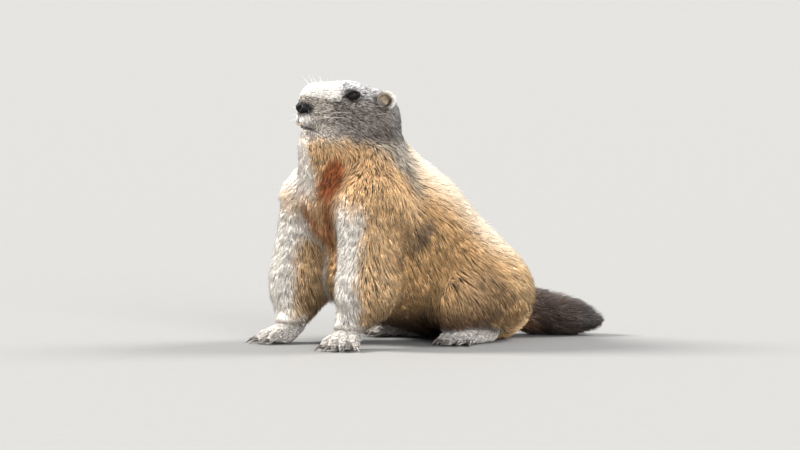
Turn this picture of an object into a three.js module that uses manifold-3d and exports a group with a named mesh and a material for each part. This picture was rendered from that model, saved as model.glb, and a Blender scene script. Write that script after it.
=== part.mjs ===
// Alpine marmot, life size, sitting up on its straight forelegs with its head raised.
// Millimetres. +Z is up, the body faces -Y and +X is the animal's left. The floor is z = 0.
// The flesh is one smooth field of tapered oval limbs, meshed and then parted with thin cuts.

import * as THREE from "three";
import { mergeVertices } from "three/addons/utils/BufferGeometryUtils.js";
import Module from "manifold-3d";

const wasm = await Module();
wasm.setup();

// Driving sizes
const gap = 0.3; // between neighbouring pieces
const bodyCell = 18.5; // mesh size of the trunk and the legs
const cutterCell = 19; // mesh size of the shapes that part the legs from the trunk
const headCell = 6.4; // mesh size of the head
const trunkBlend = 24; // how softly the trunk's limbs run into each other
const legBlend = 14;
const headBlend = 9;

// The head's own frame: forward, left and top, about the middle of the skull.
const skullCentre = new THREE.Vector3(-7, -107, 266);
const headYaw = THREE.MathUtils.degToRad(13); // turned to its right
const headPitch = THREE.MathUtils.degToRad(9); // nose up
const headForward = new THREE.Vector3(
  -Math.sin(headYaw) * Math.cos(headPitch),
  -Math.cos(headYaw) * Math.cos(headPitch),
  Math.sin(headPitch),
);
const headLeft = new THREE.Vector3(Math.cos(headYaw), -Math.sin(headYaw), 0);
const headTop = headForward.clone().cross(headLeft);

// A place on the head, from millimetres forward, left and up of the skull's middle.
function onHead(forward, left, top) {
  return skullCentre
    .clone()
    .addScaledVector(headForward, forward)
    .addScaledVector(headLeft, left)
    .addScaledVector(headTop, top)
    .toArray();
}

// Fields: each is a function of x, y, z that is negative inside, about a distance in millimetres.

// A tapered limb of oval section between two points. wide and deep are the half sizes at its two
// ends, wide along the side direction, and its ends are rounded, or flatter where full is under 1.
function limb(from, to, wide, deep = wide, side = [1, 0, 0], full = 1) {
  const start = new THREE.Vector3(...from);
  const axis = new THREE.Vector3(...to).sub(start);
  const length = axis.length();
  axis.normalize();
  const across = new THREE.Vector3(...side);
  across.addScaledVector(axis, -axis.dot(across)).normalize();
  return (x, y, z) => {
    const dx = x - start.x;
    const dy = y - start.y;
    const dz = z - start.z;
    const along = dx * axis.x + dy * axis.y + dz * axis.z;
    const sideways = dx * across.x + dy * across.y + dz * across.z;
    const t = Math.min(1, Math.max(0, along / length));
    const over = along - t * length;
    const other = Math.max(dx * dx + dy * dy + dz * dz - along * along - sideways * sideways, 0);
    const halfWide = wide[0] + (wide[1] - wide[0]) * t;
    const halfDeep = deep[0] + (deep[1] - deep[0]) * t;
    const cap = (full * (halfWide + halfDeep)) / 2;
    const share = Math.hypot(sideways / halfWide, Math.sqrt(other) / halfDeep, over / cap);
    const reach = Math.sqrt(sideways * sideways + other + over * over);
    return share < 1e-6 ? -Math.min(halfWide, halfDeep) : reach * (1 - 1 / share);
  };
}

// The lesser of two distances, rounded over where they are within k of each other.
function blend(a, b, k) {
  const h = Math.max(k - Math.abs(a - b), 0) / k;
  return Math.min(a, b) - (h * h * k) / 4;
}

function joined(fields, k) {
  return (x, y, z) => fields.reduce((d, field) => blend(d, field(x, y, z), k), 1e4);
}

const grown = (field, by) => (x, y, z) => field(x, y, z) - by;

// Trunk and neck, from the rump to the skull
const trunkField = joined(
  [
    limb([0, 56, 52], [0, 28, 72], [78, 84], [56, 64]),
    limb([0, 28, 72], [0, -34, 114], [84, 80], [64, 74]),
    limb([0, -42, 122], [0, -88, 164], [78, 70], [80, 72]),
    limb([0, 30, 54], [0, -74, 74], [82, 70], [46, 48]),
  ],
  trunkBlend,
);
const neckField = limb([0, -98, 172], [-4, -110, 234], [64, 54], [66, 60], [1, 0, 0], 0.5);

// Legs: a fore and a hind one for each side, 1 for the left and -1 for the right
const foreJoints = (s) => ({
  shoulder: [s * 57, -118, 158],
  elbow: [s * 68, s > 0 ? -134 : -131, 68],
  wrist: [s * 58, -152, 24],
});
const foreField = (s) => {
  const { shoulder, elbow, wrist } = foreJoints(s);
  return joined([limb(shoulder, elbow, [39, 36]), limb(elbow, wrist, [34, 17])], legBlend);
};
const thighField = (s) => limb([s * 45, 54, 56], [s * 66, -4, 46], [47, 36], [50, 40]);

// Skull, muzzle, cheeks and jaw
const headLimb = (from, to, wide, deep, full) =>
  limb(onHead(...from), onHead(...to), wide, deep, headLeft.toArray(), full);
const headField = joined(
  [
    headLimb([-26, 0, 0], [4, 0, 4], [38, 35], [30, 28]),
    headLimb([4, 0, 3], [39, 0, 3], [33, 15.5], [29, 24], 1.1),
    ...[1, -1].flatMap((s) => [
      headLimb([-2, s * 22, -14], [-22, s * 26, -18], [21, 25], [22, 25]),
      headLimb([51, s * 5.5, -18], [33, s * 13, -16], [9, 13], [9, 13]),
    ]),
    headLimb([12, 0, -29], [39, 0, -34], [19, 10], [14, 8]),
  ],
  headBlend,
);

// Tail: laid on the floor, bending to the left
const tailPath = [
  [0, 100, 44],
  [8, 134, 29],
  [26, 168, 22],
  [48, 192, 18],
];
const tailWide = [25, 28, 26, 15];
const tailDeep = [25, 25, 21, 14];
const tailField = joined(
  tailPath
    .slice(1)
    .map((to, i) =>
      limb(tailPath[i], to, tailWide.slice(i, i + 2), tailDeep.slice(i, i + 2), [1, -0.4, 0]),
    ),
  legBlend,
);

const fleshField = joined(
  [trunkField, neckField, headField, foreField(1), foreField(-1), thighField(1), thighField(-1)],
  legBlend,
);
const bodyField = joined([fleshField, tailField], legBlend);

// Solids

// The surface where a field is zero, as a mesh of quads on a grid of cubes: one vertex in each cube
// that the surface crosses, then moved onto the surface where the field is level. Two nets of one
// field at two levels keep an even gap between them.
function surfaceNet(field, low, high, cell, level) {
  const n = low.map((v, i) => Math.ceil((high[i] - v) / cell) + 1);
  const step = [1, n[0], n[0] * n[1]];
  const values = new Float32Array(n[0] * n[1] * n[2]);
  const place = (i, axis) => low[axis] + i * cell;
  for (let k = 0, at = 0; k < n[2]; k++)
    for (let j = 0; j < n[1]; j++)
      for (let i = 0; i < n[0]; i++, at++) {
        const rim = [i, j, k].some((v, axis) => v === 0 || v === n[axis] - 1);
        const d = field(place(i, 0), place(j, 1), place(k, 2));
        values[at] = rim ? Math.max(d, cell / 4) : d === 0 ? 1e-6 : d;
      }
  const vertexOf = new Int32Array(values.length).fill(-1);
  const positions = [];
  const eachCell = (visit) => {
    for (let k = 0; k < n[2] - 1; k++)
      for (let j = 0; j < n[1] - 1; j++)
        for (let i = 0; i < n[0] - 1; i++) visit([i, j, k], i + j * step[1] + k * step[2]);
  };
  eachCell((corner, at) => {
    const sum = [0, 0, 0];
    let crossings = 0;
    for (let axis = 0; axis < 3; axis++) {
      const [u, v] = [(axis + 1) % 3, (axis + 2) % 3];
      for (const [du, dv] of [[0, 0], [1, 0], [0, 1], [1, 1]]) {
        const first = at + du * step[u] + dv * step[v];
        const [a, b] = [values[first], values[first + step[axis]]];
        if (a < 0 === b < 0) continue;
        sum[axis] += corner[axis] + a / (a - b);
        sum[u] += corner[u] + du;
        sum[v] += corner[v] + dv;
        crossings++;
      }
    }
    if (!crossings) return;
    vertexOf[at] = positions.length / 3;
    positions.push(...sum.map((total, axis) => place(total / crossings, axis)));
  });
  settle(positions, field, cell, level);
  const index = [];
  eachCell((corner, at) => {
    for (let axis = 0; axis < 3; axis++) {
      const [u, v] = [(axis + 1) % 3, (axis + 2) % 3];
      const inside = values[at] < 0;
      if (corner[u] === 0 || corner[v] === 0 || inside === values[at + step[axis]] < 0) continue;
      const quad = [at, at - step[u], at - step[u] - step[v], at - step[v]].map((c) => vertexOf[c]);
      if (!inside) quad.reverse();
      const [a, b, c, d] = quad;
      index.push(a, b, c, a, c, d);
    }
  });
  const geometry = new THREE.BufferGeometry();
  geometry.setAttribute("position", new THREE.Float32BufferAttribute(positions, 3));
  geometry.setIndex(index);
  return geometry;
}

// Moves each vertex along the field's slope until the field there is level. Vertices of the caps
// that close a mesh at its box are deep inside, and stay.
function settle(positions, field, cell, level) {
  for (let i = 0; i < positions.length; i += 3)
    for (let pass = 0; pass < 3; pass++) {
      const spot = positions.slice(i, i + 3);
      const d = field(...spot) - level;
      if (Math.abs(d) > cell * 0.7) break;
      const slope = slopeAt(field, spot);
      const steep = Math.max(slope.lengthSq(), 0.2);
      slope.toArray().forEach((g, axis) => (positions[i + axis] -= (d * g) / steep));
    }
}

// The slope of a field, which points away from the body
function slopeAt(field, [x, y, z]) {
  const h = 0.4;
  return new THREE.Vector3(
    (field(x + h, y, z) - field(x - h, y, z)) / (2 * h),
    (field(x, y + h, z) - field(x, y - h, z)) / (2 * h),
    (field(x, y, z + h) - field(x, y, z - h)) / (2 * h),
  );
}

// How far a ray goes from a point inside a field until it leaves it
function reachOf(field, from, way) {
  const direction = new THREE.Vector3(...way).normalize();
  const at = (t) => field(...new THREE.Vector3(...from).addScaledVector(direction, t).toArray());
  let [near, far] = [0, 120];
  for (let i = 0; i < 24; i++) {
    const middle = (near + far) / 2;
    if (at(middle) < 0) near = middle;
    else far = middle;
  }
  return near;
}

// A closed mesh as a solid that can be cut and joined
function solidOf(geometry) {
  const plain = geometry.clone();
  plain.deleteAttribute("normal");
  plain.deleteAttribute("uv");
  const merged = mergeVertices(plain, 1e-4);
  return new wasm.Manifold(
    new wasm.Mesh({
      numProp: 3,
      vertProperties: new Float32Array(merged.attributes.position.array),
      triVerts: new Uint32Array(merged.index.array),
    }),
  );
}

const fieldSolid = (field, low, high, cell, level = 0) =>
  solidOf(surfaceNet(field, low, high, cell, level));

// A closed tube of oval section through some points, for claws, lids, lips and locks. sizes holds the
// half width and the half depth at each point, and a zero width closes the tube to a tip there.
function tube(points, sizes, sides, widthWay) {
  const positions = [];
  const index = [];
  const path = points.map((p) => new THREE.Vector3(...p));
  path.forEach((point, row) => {
    const ahead = path[Math.min(row + 1, path.length - 1)];
    const behind = path[Math.max(row - 1, 0)];
    const along = ahead.clone().sub(behind).normalize();
    const across = new THREE.Vector3(...widthWay);
    across.addScaledVector(along, -along.dot(across)).normalize();
    const up = along.clone().cross(across);
    for (let i = 0; i < sides; i++) {
      const angle = (2 * Math.PI * i) / sides;
      const corner = point
        .clone()
        .addScaledVector(across, Math.cos(angle) * sizes[row][0])
        .addScaledVector(up, Math.sin(angle) * sizes[row][1]);
      positions.push(...corner.toArray());
    }
  });
  for (let row = 0; row < path.length - 1; row++)
    for (let i = 0; i < sides; i++) {
      const [a, b] = [row * sides + i, row * sides + ((i + 1) % sides)];
      index.push(a, b, b + sides, a, b + sides, a + sides);
    }
  const last = (path.length - 1) * sides;
  for (let i = 1; i < sides - 1; i++) {
    index.push(0, i + 1, i);
    index.push(last, last + i, last + i + 1);
  }
  const geometry = new THREE.BufferGeometry();
  geometry.setAttribute("position", new THREE.Float32BufferAttribute(positions, 3));
  geometry.setIndex(index);
  return solidOf(geometry);
}

// An ellipsoid with its three radii along three axes
function oval(centre, radii, axes, detail = 2) {
  const geometry = new THREE.IcosahedronGeometry(1, detail).scale(...radii);
  geometry.applyMatrix4(new THREE.Matrix4().makeBasis(...axes));
  return solidOf(geometry.translate(...centre));
}

const largest = (solid) =>
  solid.decompose().reduce((best, one) => (one.volume() > best.volume() ? one : best));

// The part of a solid on the side of a plane that its normal points to
function above(solid, point, normal, shift = 0) {
  const n = new THREE.Vector3(...normal).normalize();
  return solid.trimByPlane(n.toArray(), n.dot(new THREE.Vector3(...point)) + shift);
}
const below = (solid, point, normal) =>
  above(solid, point, normal.map((v) => -v), gap);
const onFloor = (solid) => above(solid, [0, 0, 0], [0, 0, 1]);

const colours = {
  grey_fur: 0x8b8580,
  tan_fur: 0xb08a58,
  brown_fur: 0x7a5a3a,
  dark_fur: 0x2e2421,
  paw_skin: 0xa79f94,
  horn: 0x2b2724,
  nose_skin: 0x1b1a1b,
  eye: 0x0c0a0a,
  tooth: 0xd08a3c,
};

// Every piece of the model: its solid, its material and how rough that is
const pieces = new Map();
function addNode(name, solid, material, roughness = 0.85) {
  pieces.set(name, { solid: largest(solid), material, roughness });
}

function meshOf(name, { solid, material, roughness }) {
  const { vertProperties, triVerts } = solid.getMesh();
  const geometry = new THREE.BufferGeometry();
  geometry.setAttribute("position", new THREE.BufferAttribute(vertProperties, 3));
  geometry.setIndex(new THREE.BufferAttribute(triVerts, 1));
  geometry.computeVertexNormals();
  const finish = { color: colours[material], roughness, metalness: 0 };
  const mesh = new THREE.Mesh(geometry, new THREE.MeshStandardMaterial(finish));
  mesh.name = name;
  return mesh;
}

const sides = [
  ["left", 1],
  ["right", -1],
];

// The cuts across the trunk: a point and the way forward along the body
const skullCut = [onHead(0, 0, -37), headTop.toArray()];
const neckCut = [[0, -92, 176], [0, -0.35, 1]];
const chestCut = [[0, -32, 110], [0, -0.8, 0.6]];
const loinCut = [[0, 34, 82], [0, -0.88, 0.47]];
const tailCut = [[0, 128, 38], [0, -1, 0.45]];

// Hands and hind feet, each in a frame of its own: ahead along the foot, out from the body, and up

// The places of one foot, for side s, from its root on the floor and how far it turns out
function footFrame(s, root, turnedOut) {
  const [c, d] = [Math.cos(turnedOut), Math.sin(turnedOut)];
  return (ahead, out, up) => [
    root[0] + s * (out * c + ahead * d),
    root[1] - ahead * c + out * d,
    up,
  ];
}

// A finger or toe: its joints, from its knuckle along a way that is splayed from the foot's own
function digit(place, knuckle, splay, length) {
  const [ahead, out, up] = knuckle;
  const at = (share, rise) =>
    place(
      ahead + Math.cos(splay) * length * share,
      out + Math.sin(splay) * length * share,
      rise,
    );
  return [at(-0.35, up - 1), at(0.2, up + 1), at(0.62, up - 1.5), at(1, 4.2)];
}
const digitSizes = (size, by = 0) =>
  [1, 1.02, 0.9, 0.66].map((share) => [size * share + by, size * share * 0.95 + by]);

// A claw stands on the flat end of its digit and curves down to the floor
const clawRise = [0.5, 1.6, 0.6, -3.3];
const clawRadius = [2.3, 2.4, 1.6, 0.4];
function addClaw(name, joints, length) {
  const tip = new THREE.Vector3(...joints[3]);
  const way = tip.clone().sub(new THREE.Vector3(...joints[2])).normalize();
  const points = clawRise.map((rise, row) => {
    const reach = (row / (clawRise.length - 1)) * length + gap;
    return tip.clone().addScaledVector(way, reach).add(new THREE.Vector3(0, 0, rise)).toArray();
  });
  const claw = tube(points, clawRadius.map((r) => [r * 0.7, r]), 5, [-way.y, way.x, 0]);
  const clear = above(claw, joints[3], way.toArray(), gap);
  addNode(name, onFloor(clear), "horn", 0.45);
}

// A foot's body, grown by some millimetres
function footSolid(foot, by = 0) {
  const pad = foot.pad.map(([ahead, out, up]) => foot.place(ahead, out, up));
  const padSizes = foot.padSizes.map(([wide, deep]) => [wide + by, deep + by]);
  const body = tube(pad, padSizes, 8, foot.across);
  const digits = foot.digits.map((joints) =>
    tube(joints, digitSizes(foot.digitSize, by), 5, foot.across),
  );
  return digits.reduce((solid, one) => solid.add(one), body);
}

function acrossOf(place, s) {
  return new THREE.Vector3(...place(0, s, 0)).sub(new THREE.Vector3(...place(0, 0, 0))).toArray();
}

const handTurn = { left: 0.55, right: 0.2 }; // radians that the hands are turned out
const hands = {};
const hindFeet = {};
for (const [side, s] of sides) {
  const ahead = footFrame(s, foreJoints(s).wrist, handTurn[side]);
  hands[side] = {
    place: ahead,
    across: acrossOf(ahead, s),
    pad: [[-6, 0, 36], [-2, 0, 24], [6, 0, 14], [15, 0, 10], [24, 1, 8]],
    padSizes: [[16, 15], [16, 14], [15.5, 12], [16.5, 10], [14, 6.5]],
    digits: [-0.34, -0.08, 0.2, 0.62].map((splay, i) =>
      digit(ahead, [18 - Math.abs(i - 1.2) * 1.5, (i - 1.5) * 7.8, 11], splay, [21, 25, 24, 20][i]),
    ),
    digitSize: 5.8,
  };
  const under = footFrame(s, [s * 62, 36], 0.3);
  hindFeet[side] = {
    place: under,
    across: acrossOf(under, s),
    pad: [[-8, 0, 11], [0, 0, 12], [24, 0, 11], [46, 0, 10], [57, 0, 8]],
    padSizes: [[8, 8], [13, 12], [15, 12], [18, 10.5], [15, 7]],
    digits: [-0.2, -0.06, 0.1, 0.28, 0.5].map((splay, i) =>
      digit(under, [50 - Math.abs(i - 2) * 2, (i - 2) * 7.4, 10], splay, [21, 25, 25, 23, 18][i]),
    ),
    digitSize: 5.6,
  };
  hands[side].digits.forEach((joints, i) => addClaw(`${side}_fore_claw_${i + 1}`, joints, 12));
  hindFeet[side].digits.forEach((joints, i) => addClaw(`${side}_hind_claw_${i + 1}`, joints, 10));
}

// Flesh: the whole body coarsely, and the head again, finely, further down
const bodyBox = [[-125, -205, -27], [125, 230, 312]];
let flesh = onFloor(fieldSolid(bodyField, ...bodyBox, bodyCell));
for (const foot of Object.values(hindFeet)) flesh = flesh.subtract(footSolid(foot, gap));

// Forelegs: cut from the flesh by their own shape, grown, and then across the joints
const legMargin = 12;
for (const [name, s] of sides) {
  const { elbow, wrist } = foreJoints(s);
  const span = [[s > 0 ? 0 : -135, -215, -40], [s > 0 ? 135 : 0, -50, 230]];
  const cutter = (level) => fieldSolid(grown(foreField(s), legMargin), ...span, cutterCell, level);
  const midline = [[s * 12, 0, 0], [s, 0, 0]];
  const leg = above(flesh.intersect(cutter(-gap)), ...midline, gap);
  flesh = flesh.subtract(above(cutter(0), ...midline));
  const elbowCut = [[elbow[0], elbow[1], elbow[2] + 6], [0, 0.25, 1]];
  const wristCut = [[wrist[0], wrist[1], wrist[2] + 6], [0, 0.5, 1]];
  addNode(`${name}_upper_arm`, above(leg, ...elbowCut), "tan_fur");
  addNode(`${name}_forearm`, above(below(leg, ...elbowCut), ...wristCut), "tan_fur");
  addNode(`${name}_hand`, onFloor(below(footSolid(hands[name]), ...wristCut)), "paw_skin");
}

// Haunches, and the hind feet under them
const haunchMargin = 11;
for (const [name, s] of sides) {
  const span = [[s > 0 ? -25 : -135, -80, -40], [s > 0 ? 135 : 25, 140, 140]];
  const cutter = (level) =>
    fieldSolid(grown(thighField(s), haunchMargin), ...span, cutterCell, level);
  const midline = [[s * 14, 0, 0], [s, 0, 0]];
  const thigh = above(flesh.intersect(cutter(-gap)), ...midline, gap);
  flesh = flesh.subtract(above(cutter(0), ...midline));
  addNode(`${name}_thigh`, thigh, "brown_fur");
  addNode(`${name}_hind_foot`, onFloor(footSolid(hindFeet[name])), "paw_skin");
}

// Trunk
addNode("neck", above(below(flesh, ...skullCut), ...neckCut), "grey_fur");
const trunk = below(flesh, ...neckCut);
addNode("chest", above(trunk, ...chestCut), "tan_fur");
const hindTrunk = below(trunk, ...chestCut);
addNode("belly", above(hindTrunk, ...loinCut), "tan_fur");
const rumpAndTail = below(hindTrunk, ...loinCut);
addNode("rump", above(rumpAndTail, ...tailCut), "brown_fur");
const tail = below(rumpAndTail, ...tailCut);
const tailBend = [tailPath[2], [-0.5, -1, 0]];
addNode("tail_root", above(tail, ...tailBend), "dark_fur");
addNode("tail_end", below(tail, ...tailBend), "dark_fur");

// Head
const headBox = [[-66, -186, 205], [50, -40, 312]];
const headShell = (level) => fieldSolid(fleshField, ...headBox, headCell, level);
let head = above(headShell(0), ...skullCut);
const headRoom = headShell(gap);
const headAxes = [headForward, headLeft, headTop];

// Eyes, each a ball in the head between two lids that lie close over it
const eyeRadius = 6.8;
const eyeSunk = 4.2; // from the eye's middle to the surface of the head
const lidThick = 1.9;
const lidOpen = [0.85, -0.9]; // radians of the upper and the lower lid from the eye's equator
for (const [name, s] of sides) {
  const out = new THREE.Vector3(...onHead(0.25, s, 0.1)).sub(skullCentre).normalize();
  const start = onHead(2.5, 0, 14);
  const skin = reachOf(fleshField, start, out.toArray());
  const centre = new THREE.Vector3(...start).addScaledVector(out, skin - eyeSunk);
  const along = headTop.clone().cross(out).normalize();
  const up = out.clone().cross(along);
  for (const open of lidOpen) {
    const arc = [-4, -3, -2, -1, 0, 1, 2, 3, 4].map((step) => {
      const turn = step * 0.36;
      return centre
        .clone()
        .addScaledVector(along, Math.sin(turn) * (eyeRadius + 1))
        .addScaledVector(out, Math.cos(turn) * Math.cos(open) * (eyeRadius + 1))
        .addScaledVector(up, Math.cos(turn) * Math.sin(open) * (eyeRadius + 1))
        .toArray();
    });
    head = head.add(tube(arc, arc.map(() => [lidThick, lidThick]), 5, up.toArray()));
  }
  const round = (by) => [1, 1, 1].map(() => eyeRadius + by);
  head = head.subtract(oval(centre.toArray(), round(gap), [out, along, up]));
  const eye = oval(centre.toArray(), round(0), [out, along, up]);
  addNode(`${name}_eye`, eye, "eye", 0.08);
}

// Nose pad with two nostrils
let nose = oval(onHead(52, 0, -4.5), [12.6, 10.4, 7.8], headAxes).subtract(headRoom);
for (const [, s] of sides) {
  const nostril = [onHead(68, s * 3, -5), onHead(63, s * 4, -4.5), onHead(60, s * 5, -4)];
  nose = nose.subtract(tube(nostril, [[1.2, 1.9], [1.1, 1.7], [0.7, 1]], 5, headLeft.toArray()));
}
addNode("nose", nose, "nose_skin", 0.4);

// Mouth: the split of the upper lip, the slit between the lips, and the two upper incisors
const lipSplit = [onHead(66, 0, -10), onHead(65, 0, -16), onHead(62, 0, -22), onHead(56, 0, -28)];
head = head.subtract(tube(lipSplit, [[1.1, 4], [1.4, 5], [2, 6], [1.4, 5]], 4, headLeft.toArray()));
const slit = [-6, -5, -4, -3, -2, -1, 0, 1, 2, 3, 4, 5, 6].map((step) => {
  const t = step / 6;
  return onHead(58 - 27 * t * t, 20 * t, -27 - 3 * t * t);
});
head = head.subtract(tube(slit, slit.map(() => [5, 0.9]), 4, headForward.toArray()));
const tooth = [onHead(50, 0, -15), onHead(57, 0, -20), onHead(58.5, 0, -27)];
const toothSize = (by) => [[2.8 + by, 2 + by], [2.8 + by, 1.8 + by], [2.7 + by, 0.8 + by]];
head = head.subtract(tube(tooth, toothSize(gap), 4, headLeft.toArray()));
addNode("upper_incisors", tube(tooth, toothSize(0), 4, headLeft.toArray()), "tooth", 0.3);
addNode("head", head, "grey_fur");

// Ears: short round cups that stand off the head, open to the side and a little forward
for (const [name, s] of sides) {
  const open = new THREE.Vector3(...onHead(0.45, s, 0.1)).sub(skullCentre).normalize();
  const along = headTop.clone().cross(open).normalize();
  const axes = [along, open, open.clone().cross(along).multiplyScalar(-1)];
  const centre = new THREE.Vector3(...onHead(-26.5, s * 37, 16));
  const cup = centre.clone().addScaledVector(open, 6.2);
  const shell = oval(centre.toArray(), [10.2, 5, 10.4], axes);
  const hollow = oval(cup.toArray(), [7.4, 6.6, 7.7], axes, 1);
  addNode(`${name}_ear`, shell.subtract(hollow).subtract(headRoom), "grey_fur");
}

// Long coat: flat, tapered locks that bend along the body, their roots sunk in it

// The half width, half depth and lift off the skin of a lock, from its root to its tip
const lockShape = [[10, 4, -4.2], [10.5, 3, 1.5], [0.8, 0.9, 4]];

// A lock from a root on the surface, lying the way the coat flows. room is the lock grown by a gap.
function lock(root, flow, length, size) {
  const way = new THREE.Vector3(...flow).normalize();
  const spot = new THREE.Vector3(...root);
  const points = [];
  let across = null;
  for (const [, , lift] of lockShape) {
    const out = slopeAt(bodyField, spot.toArray()).normalize();
    spot.addScaledVector(out, -bodyField(...spot.toArray()));
    points.push(spot.clone().addScaledVector(out, lift * size).toArray());
    const lie = way.clone().addScaledVector(out, -way.dot(out)).normalize();
    across ??= out.clone().cross(lie);
    spot.addScaledVector(lie, length / (lockShape.length - 1));
  }
  const sizes = (by) => lockShape.map(([wide, deep]) => [wide * size + by, deep * size + by]);
  const shape = (by) => tube(points, sizes(by), 4, across.toArray());
  return { solid: shape(0), room: shape(gap) };
}

// Fuses a lock with the one piece that holds its root, and leaves out a lock that crosses a gap
function plant({ solid, room }) {
  const touched = [...pieces.values()].filter((piece) => !piece.solid.intersect(room).isEmpty());
  if (touched.length === 1) touched[0].solid = largest(onFloor(touched[0].solid.add(solid)));
}

// Plants rings of locks about the points of a path. An angle runs from the way up, which leans
// back, to the left, and flow is the way the coat lies at that angle.
function plantRings({ path, back, angles, flow, length, size }) {
  path.forEach((centre, ring) =>
    angles.forEach((angle, i) => {
      const turn = angle + (ring % 2 ? 0.5 : 0) * (angles[1] - angles[0]);
      const way = new THREE.Vector3(Math.sin(turn), back * Math.cos(turn), Math.cos(turn));
      way.normalize();
      const root = way.clone().multiplyScalar(reachOf(bodyField, centre, way.toArray()));
      root.add(new THREE.Vector3(...centre));
      const vary = 1 + 0.16 * Math.sin(7 * ring + 3 * i);
      plant(lock(root.toArray(), flow(turn, ring), length * vary, size * vary));
    }),
  );
}

plantRings({
  path: [[0, 46, 66], [0, 14, 84], [0, -22, 106], [0, -56, 134]],
  back: 0.7,
  angles: [-1.8, -1, -0.2, 0.6, 1.4],
  flow: (turn) => [0, 0.42 + 0.37 * Math.cos(turn), -0.9],
  length: 44,
  size: 1.15,
});
plantRings({
  path: [[0, -100, 196], [-2, -104, 216]],
  back: 0.4,
  angles: [-2, -1, 0, 1, 2],
  flow: (turn) => [0.2 * Math.sin(turn), 0.15, -1],
  length: 30,
  size: 0.85,
});
plantRings({
  path: [[3, 110, 38], [9, 132, 30], [17, 151, 25], [29, 171, 21]],
  back: 0.3,
  angles: [-1.7, -0.85, 0, 0.85],
  flow: (turn, ring) => [0.2 + 0.15 * ring, 1 - 0.1 * ring, -0.3],
  length: 30,
  size: 0.8,
});
for (const [, s] of sides) {
  plantRings({
    path: [[s * 60, -122, 128], [s * 64, -126, 100]],
    back: 0.4,
    angles: [s * 1, s * 1.8],
    flow: () => [s * 0.1, 0.2, -1],
    length: 32,
    size: 0.8,
  });
  plantRings({
    path: [[s * 50, 30, 52], [s * 52, 4, 50]],
    back: 0.4,
    angles: [s * 1, s * 1.5],
    flow: () => [0, 0.45, -0.9],
    length: 38,
    size: 1.05,
  });
  plantRings({
    path: [onHead(-16, 0, -16)],
    back: 0,
    angles: [s * 1.5, s * 2],
    flow: () => [0, 0.7, -0.7],
    length: 20,
    size: 0.55,
  });
}

// The origin is on the floor, under the middle of the whole
const marmot = new THREE.Group();
for (const [name, piece] of pieces) marmot.add(meshOf(name, piece));
const extent = new THREE.Box3().setFromObject(marmot);
marmot.position.set(-(extent.min.x + extent.max.x) / 2, -(extent.min.y + extent.max.y) / 2, 0);

export default marmot;
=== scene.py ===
# %% [markdown]
# # An alpine marmot, sitting up
# The real animal is about half a metre of thick fur over a body that hardly shows. What a viewer
# reads is the outline, the lie of the coat, the grey head with its dark eye, and the black tail.
# So the model is made in that order: one skin for the whole body, a coat of small tufts that grows
# on it, and then the hard and bare pieces, which are eyes, lids, nose, teeth, ears and claws.

import bpy
import numpy as np
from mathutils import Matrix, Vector


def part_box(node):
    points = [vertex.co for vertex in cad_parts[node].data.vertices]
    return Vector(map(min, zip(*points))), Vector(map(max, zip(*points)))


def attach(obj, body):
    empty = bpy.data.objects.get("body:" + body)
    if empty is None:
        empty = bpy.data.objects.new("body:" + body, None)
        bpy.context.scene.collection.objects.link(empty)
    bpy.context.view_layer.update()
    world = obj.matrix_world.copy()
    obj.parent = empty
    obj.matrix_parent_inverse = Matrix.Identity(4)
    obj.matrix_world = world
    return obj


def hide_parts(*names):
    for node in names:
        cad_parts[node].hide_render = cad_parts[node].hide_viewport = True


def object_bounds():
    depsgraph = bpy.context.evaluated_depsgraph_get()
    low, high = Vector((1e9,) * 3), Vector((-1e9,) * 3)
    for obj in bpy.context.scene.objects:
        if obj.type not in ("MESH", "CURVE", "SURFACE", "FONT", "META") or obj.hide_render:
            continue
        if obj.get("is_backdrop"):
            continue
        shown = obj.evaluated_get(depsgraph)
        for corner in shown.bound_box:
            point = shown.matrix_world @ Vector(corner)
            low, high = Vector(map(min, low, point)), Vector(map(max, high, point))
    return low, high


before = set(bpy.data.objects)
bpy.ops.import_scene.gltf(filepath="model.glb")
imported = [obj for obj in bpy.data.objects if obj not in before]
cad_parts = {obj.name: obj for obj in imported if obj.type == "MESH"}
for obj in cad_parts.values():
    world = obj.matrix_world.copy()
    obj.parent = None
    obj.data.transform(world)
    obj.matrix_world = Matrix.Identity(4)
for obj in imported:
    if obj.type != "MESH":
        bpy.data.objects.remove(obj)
cad_low, cad_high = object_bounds()
print("frame:", len(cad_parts), "pieces, from", cad_low[:], "to", cad_high[:])

# %% [markdown]
# ## Working in millimetres
# The body is easier to think about in millimetres, in the frame in which it was designed: the floor
# is z = 0, the animal faces -Y, and its left is +X. One function, further on, turns such places
# into metres in the shared frame.

# %% Small helpers
MM = 0.001
FAR = 1000.0
rng = np.random.default_rng(4096)
SIDES = {"left": 1, "right": -1}


def unit(v):
    """Vectors scaled to length one, along the last axis."""
    v = np.asarray(v, float)
    return v / np.maximum(np.linalg.norm(v, axis=-1, keepdims=True), 1e-9)


def ramp(value, start, end):
    """A smooth step: 0 at start, 1 at end, flat at both, by 3t^2 - 2t^3."""
    t = np.clip((value - start) / (end - start), 0, 1)
    return t * t * (3 - 2 * t)


def mix(a, b, share):
    """From a to b by a share for each row; a and b are numbers, or colours and vectors of three."""
    a, b, share = np.asarray(a), np.asarray(b), np.asarray(share)
    if 3 in a.shape[-1:] + b.shape[-1:]:
        share = share[..., None]
    return a * (1 - share) + b * share


# %% [markdown]
# ## The body as a field
# A body this soft has no edges, so it isn't modelled face by face. It is a field: a number at each
# point of space that is negative inside and about a distance in millimetres. Each muscle or bone is
# a tapered oval limb, and limbs run into each other with a smooth minimum. The sizes are within a
# millimetre or two of those of the solids, so that skin and solids agree. Only the two low forms
# over the withers are added here.

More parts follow.
